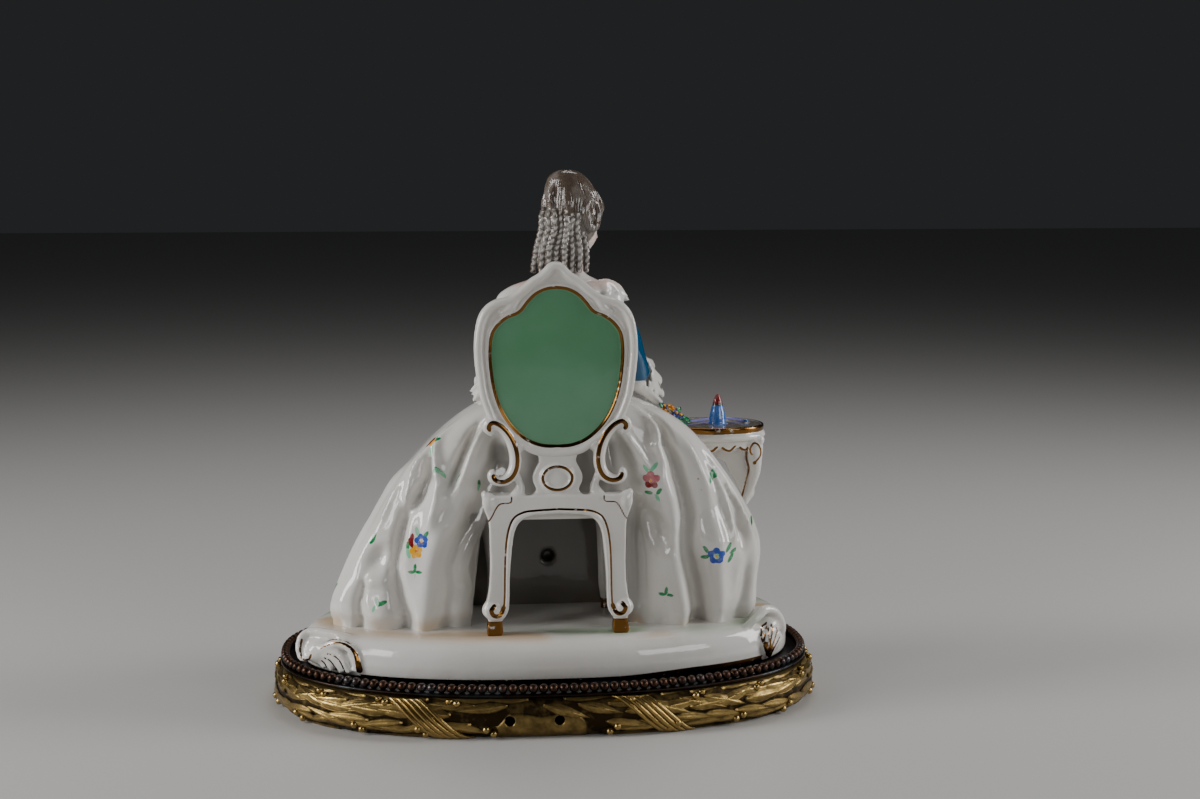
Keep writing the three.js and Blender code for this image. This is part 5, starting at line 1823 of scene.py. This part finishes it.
TABLE_PAINT = (("marble", "marble"), ("lavender", "lavender"), ("gold", "gold"), ("bottle", "bottle_blue"),
               ("neck", "ink"), ("stopper", "red"))


def table_outline(inset, count=120):
    return oval_points(count, TABLE_HALF, 2.1, inset) + TABLE_CENTRE


def apron_edge():
    """The scalloped lower edge of the rail: points of its outline, their heights and scallop shares."""
    outline = table_outline(APRON_INSET, 300)
    run = np.concatenate([[0], np.cumsum(np.linalg.norm(np.diff(outline, axis=0), axis=1))])
    share = (run / SCALLOP_LENGTH + 0.35) % 1
    return outline, APRON_LOW - SCALLOP_DROP * np.sin(math.pi * share), share


def table_apron():
    outline, low, _ = apron_edge()
    rings = []
    for where, out, height in zip(outline, out_of(outline), low):
        section = ((0.9, TABLE_TOP - 8), (0.9, height + 0.8), (-0.1, height), (-2.4, height + 0.8),
                   (-2.4, TABLE_TOP - 8))
        rings.append([[*(where + out * reach), z] for reach, z in section])
    return skin(rings, loop=True)


def turned_on_table(profile):
    return skin([at_height(disc(BOTTLE, radius, 32), TABLE_TOP - 1.0 + height) for radius, height in profile])


def leg_side(stops):
    """Which side of the table a leg stands on: right (1) or left (-1)."""
    return 1 if stops[0][0] > TABLE_CENTRE[0] else -1


def make_table():
    top = skin([at_height(table_outline(inset), TABLE_TOP + height) for height, inset in TABLE_PROFILE])
    parts = [top, table_apron(), upright_plate(TABLE_BOARD, 19, 23)]
    for stops in TABLE_LEGS:
        parts.append(rod(stops, TABLE_LEG_HALF, 0.8 * np.array(TABLE_LEG_HALF), count=60, sides=24))
        parts.append(ball(np.add(stops[1], (3.0 * leg_side(stops), 0, 5.6)), (2.8, 4.0, 3.4)))
    parts.append(rod(at_height(CORD, TABLE_TOP - 0.1), 0.9, count=60, sides=10))
    parts.append(ball((*CORD_END, TABLE_TOP), (1.4, 1.4, 1.2), across=16, down=10))
    parts += [turned_on_table(BOTTLE_BODY), turned_on_table(BOTTLE_STOPPER)]
    piece = fused("dressing_table", parts, grain=0.66, rounding=1)
    colour_table(piece)
    paint = ((name, 0.0, colour) for name, colour in TABLE_PAINT)
    finish_porcelain(piece, "table", tuple(paint))


def table_gold(points, edge):
    """The gilt rim, a stroke in each scallop, and the lines on the legs' broad faces."""
    under_top = TABLE_TOP - points[:, 2]
    gold = np.maximum(np.abs(edge + 1.4) - 1.3, np.abs(under_top - 1.6) - 2.2)
    _, low, share = apron_edge()
    outline = table_outline(APRON_INSET - 0.9, len(low))
    strokes = []
    for k in np.where((share[:-1] > 0.1) & (share[:-1] < 0.8) & (share[1:] > share[:-1]))[0]:
        lift = 1.0 + 1.6 * steps(share[k], 0.45, 0.8)
        strokes.append((np.column_stack([outline[k:k + 2], low[k:k + 2] + lift]), 0.85 - 0.35 * share[k]))
    below = np.where(points[:, 2] < APRON_LOW + 3)[0]
    gold[below] = np.minimum(gold[below], painted_lines(points[below], strokes))
    leg_lines = ((smooth_path(KNEE_CURL, 30), 0.55), (smooth_path(LEG_LINE, 30), 0.4))
    for stops in TABLE_LEGS:
        knee = stops[2]
        flat = np.stack([(points[:, 0] - knee[0]) * leg_side(stops), points[:, 2] - KNEE_HEIGHT], 1)
        lines = np.minimum(painted_lines(flat, leg_lines), np.linalg.norm(flat - KNEE_DOT, axis=1) - 1.1)
        on_leg = (np.abs(points[:, 1] - knee[1]) < 9) & (under_top > 4)
        gold = np.minimum(gold, np.where(on_leg, lines, FAR))
    return np.minimum(gold, points[:, 2] - 53.5)


def colour_table(piece):
    points = laid_out(piece)
    over_top = points[:, 2] - TABLE_TOP
    to_bottle = np.hypot(points[:, 0] - BOTTLE[0], points[:, 1] - BOTTLE[1])
    edge = inside_distance(points[:, :2], table_outline(0.0))
    cord = at_height(smooth_path(CORD, 50), TABLE_TOP)
    raised = (over_top > -0.5) & (to_bottle > 5.4)
    low, high = np.array(NECK_HEIGHT) - 1.2
    body = np.where(over_top > -0.8, np.maximum(to_bottle - 5.7, over_top - low), FAR)
    bead = np.linalg.norm(points - [*CORD_END, TABLE_TOP], axis=1) - 1.7
    gaps = {
        # grey over the top: marble, and a painted reflection of dark surroundings in its glaze
        "marble": np.where(np.abs(over_top) < 1.6, edge + 2.9, FAR),
        "gold": table_gold(points, edge),
        "lavender": np.where(raised, line_distance(points, cord) - 1.5, FAR),
        "bottle": np.minimum(body, bead),
        "neck": np.max([to_bottle - 6, low - over_top - 0.15, over_top - high - 0.15], axis=0),
        "stopper": np.maximum(to_bottle - 6, high - over_top),
    }
    for name, gap in gaps.items():
        write_number(piece, name, gap)


# Small modelled flowers lying on the skirt beside her right hand

FLOWERS = (
    # (centre, petal length, colour)
    ((70.3, -13.0, 162.0), 2.6, "yellow"), ((66.8, -13.5, 160.0), 2.8, "orange"),
    ((72.9, -13.5, 158.8), 3.4, "blue"), ((69.9, -14.5, 157.6), 2.7, "yellow"),
    ((75.4, -12.5, 157.6), 2.4, "blue"), ((71.5, -7.0, 161.0), 2.8, "rose"),
    ((66.8, -7.0, 162.0), 2.6, "blue"),
)
FLOWER_LEAVES = (
    # (centre, turn in radians)
    ((76.8, -12.5, 156.0), 0.3), ((74.6, -14.5, 154.4), -0.4), ((78.2, -10.5, 154.6), 0.1),
    ((65.6, -11.5, 161.2), 2.6), ((73.0, -14.5, 153.6), -1.2), ((75.0, -5.0, 158.6), 1.6),
)
FLOWER_STEM = ((65, -11.5, 157.6), (70, -11.5, 156.4), (75, -11, 154.4), (79, -9.5, 150.8))
FLOWER_PAINT = ("yellow", "blue", "orange", "rose", "leaf")
PETAL_BREADTH = 0.42
FLOWER_FACING = (0.55, -0.45, 0.8)
LEAF_FACING = (0.6, -0.5, 0.65)


def petal(centre, out, normal, length, width):
    """A cupped petal with some thickness."""
    a = np.linspace(0, 1, 7)[:, None, None]
    b = np.linspace(-1, 1, 5)[None, :, None]
    half = width * np.sin(math.pi * np.clip(a, 0.1, 0.93) ** 0.8)
    middle = centre + out * length * a + np.cross(normal, out) * half * b + normal * (0.9 * a + 0.5 * b * b)
    return thick_patch(middle + normal * 0.45, middle - normal * 0.45)


def modelled_flower(centre, size, colour):
    """Five petals round a heart, each shape with its colour."""
    normal = unit(FLOWER_FACING)
    first = unit(np.cross(normal, [0.2, 1, 0.1]))
    second = np.cross(normal, first)
    shapes = []
    for k in range(5):
        angle = FULL * k / 5 + centre[0]
        out = first * math.cos(angle) + second * math.sin(angle)
        shapes.append((petal(centre - normal, out, normal, size, size * PETAL_BREADTH), colour))
    heart = ball(centre + normal * 0.6, (1.1, 1.1, 1.0), across=12, down=8)
    return shapes + [(heart, "orange" if colour == "yellow" else "yellow")]


def make_flowers():
    shapes = []
    for flower in FLOWERS:
        shapes += modelled_flower(*flower)
    for centre, turn in FLOWER_LEAVES:
        normal = unit(LEAF_FACING)
        out = unit([math.cos(turn), math.sin(turn) * 0.6, -0.35 * math.cos(turn)])
        out = unit(out - normal * (out @ normal))
        shapes.append((petal(centre, out, normal, 3.6, 1.4), "leaf"))
    shapes.append((rod(FLOWER_STEM, (2.0, 2.8, 2.2, 1.2), count=20, sides=12), "leaf"))
    piece = add_object("modelled_flowers", *merged_parts([shape for shape, _ in shapes]))
    for name in FLOWER_PAINT:
        write_number(piece, name, np.concatenate([
            np.full(len(points), -1.0 if colour == name else 1.0) for (points, _), colour in shapes]))
    finish_porcelain(piece, "flowers", tuple((name, 0.0, name) for name in FLOWER_PAINT))


# Stage: pale floor, soft light, and the camera at the photograph's angle

CAMERA_PLACE = (0.0861, 1.0971, 0.308)
CAMERA_AHEAD = (-0.1059, -0.9861, -0.1281)
CAMERA_LENS = 59.29
FLOOR_HALF = 6
FLOOR_TONE = "#bcbab7"
ROOM_TONE = "#b9bcc0"
ROOM_STRENGTH = 0.04
SOFT_LIGHTS = (
    # (place, aimed at, width, height, watts)
    ((1.3, 0.2, 0.55), (0.0, 0.0, 0.13), 0.45, 0.9, 16.5),
    ((-1.3, 0.12, 0.6), (0.0, 0.0, 0.13), 0.45, 0.9, 13.0),
    ((1.02, 0.86, 0.5), (0.0, 0.0, 0.14), 0.32, 0.42, 3.2),
    ((-0.8, 1.06, 0.5), (0.0, 0.0, 0.14), 0.62, 0.36, 3.0),
    ((-0.2, -0.55, 1.35), (0.0, 0.0, 0.14), 0.8, 0.5, 5.0),
)


def aimed(thing, place_at, direction):
    """Set a lamp or camera in place, looking along a direction."""
    ahead = unit(direction)
    right = unit(np.cross(ahead, [0, 0, 1.0]))
    turned = np.eye(4)
    turned[:3] = np.column_stack([right, np.cross(right, ahead), -ahead, place_at])
    bpy.context.scene.collection.objects.link(thing)
    thing.matrix_world = Matrix(turned.tolist())
    return thing


def make_floor():
    mesh = bpy.data.meshes.new("floor")
    corners = [(x * FLOOR_HALF, y * FLOOR_HALF, 0) for x, y in ((-1, -1), (1, -1), (1, 1), (-1, 1))]
    mesh.from_pydata(corners, [], [(0, 1, 2, 3)])
    floor = bpy.data.objects.new("floor", mesh)
    bpy.context.scene.collection.objects.link(floor)
    material, tree = new_material("pale_floor")
    surfaced(tree, {"Base Color": linear(FLOOR_TONE), "Roughness": 0.55})
    mesh.materials.append(material)


def make_stage():
    make_floor()
    for k, (where, target, width, height, watts) in enumerate(SOFT_LIGHTS):
        lamp = bpy.data.lights.new(f"soft_light_{k}", "AREA")
        lamp.shape = "RECTANGLE"
        lamp.size = width
        lamp.size_y = height
        lamp.energy = watts
        aimed(bpy.data.objects.new(lamp.name, lamp), where, np.subtract(target, where))
    world = bpy.data.worlds.new("studio")
    world.use_nodes = True
    background = world.node_tree.nodes["Background"]
    background.inputs["Color"].default_value = linear(ROOM_TONE)
    background.inputs["Strength"].default_value = ROOM_STRENGTH
    bpy.context.scene.world = world
    lens = bpy.data.cameras.new("camera")
    lens.lens = CAMERA_LENS
    bpy.context.scene.camera = aimed(bpy.data.objects.new("camera", lens), CAMERA_PLACE, CAMERA_AHEAD)


make_wreath()
make_tray()
make_base()
make_skirt()
make_chair_back()
make_chair_seat()
make_lady()
make_head()
make_table()
make_flowers()
make_stage()
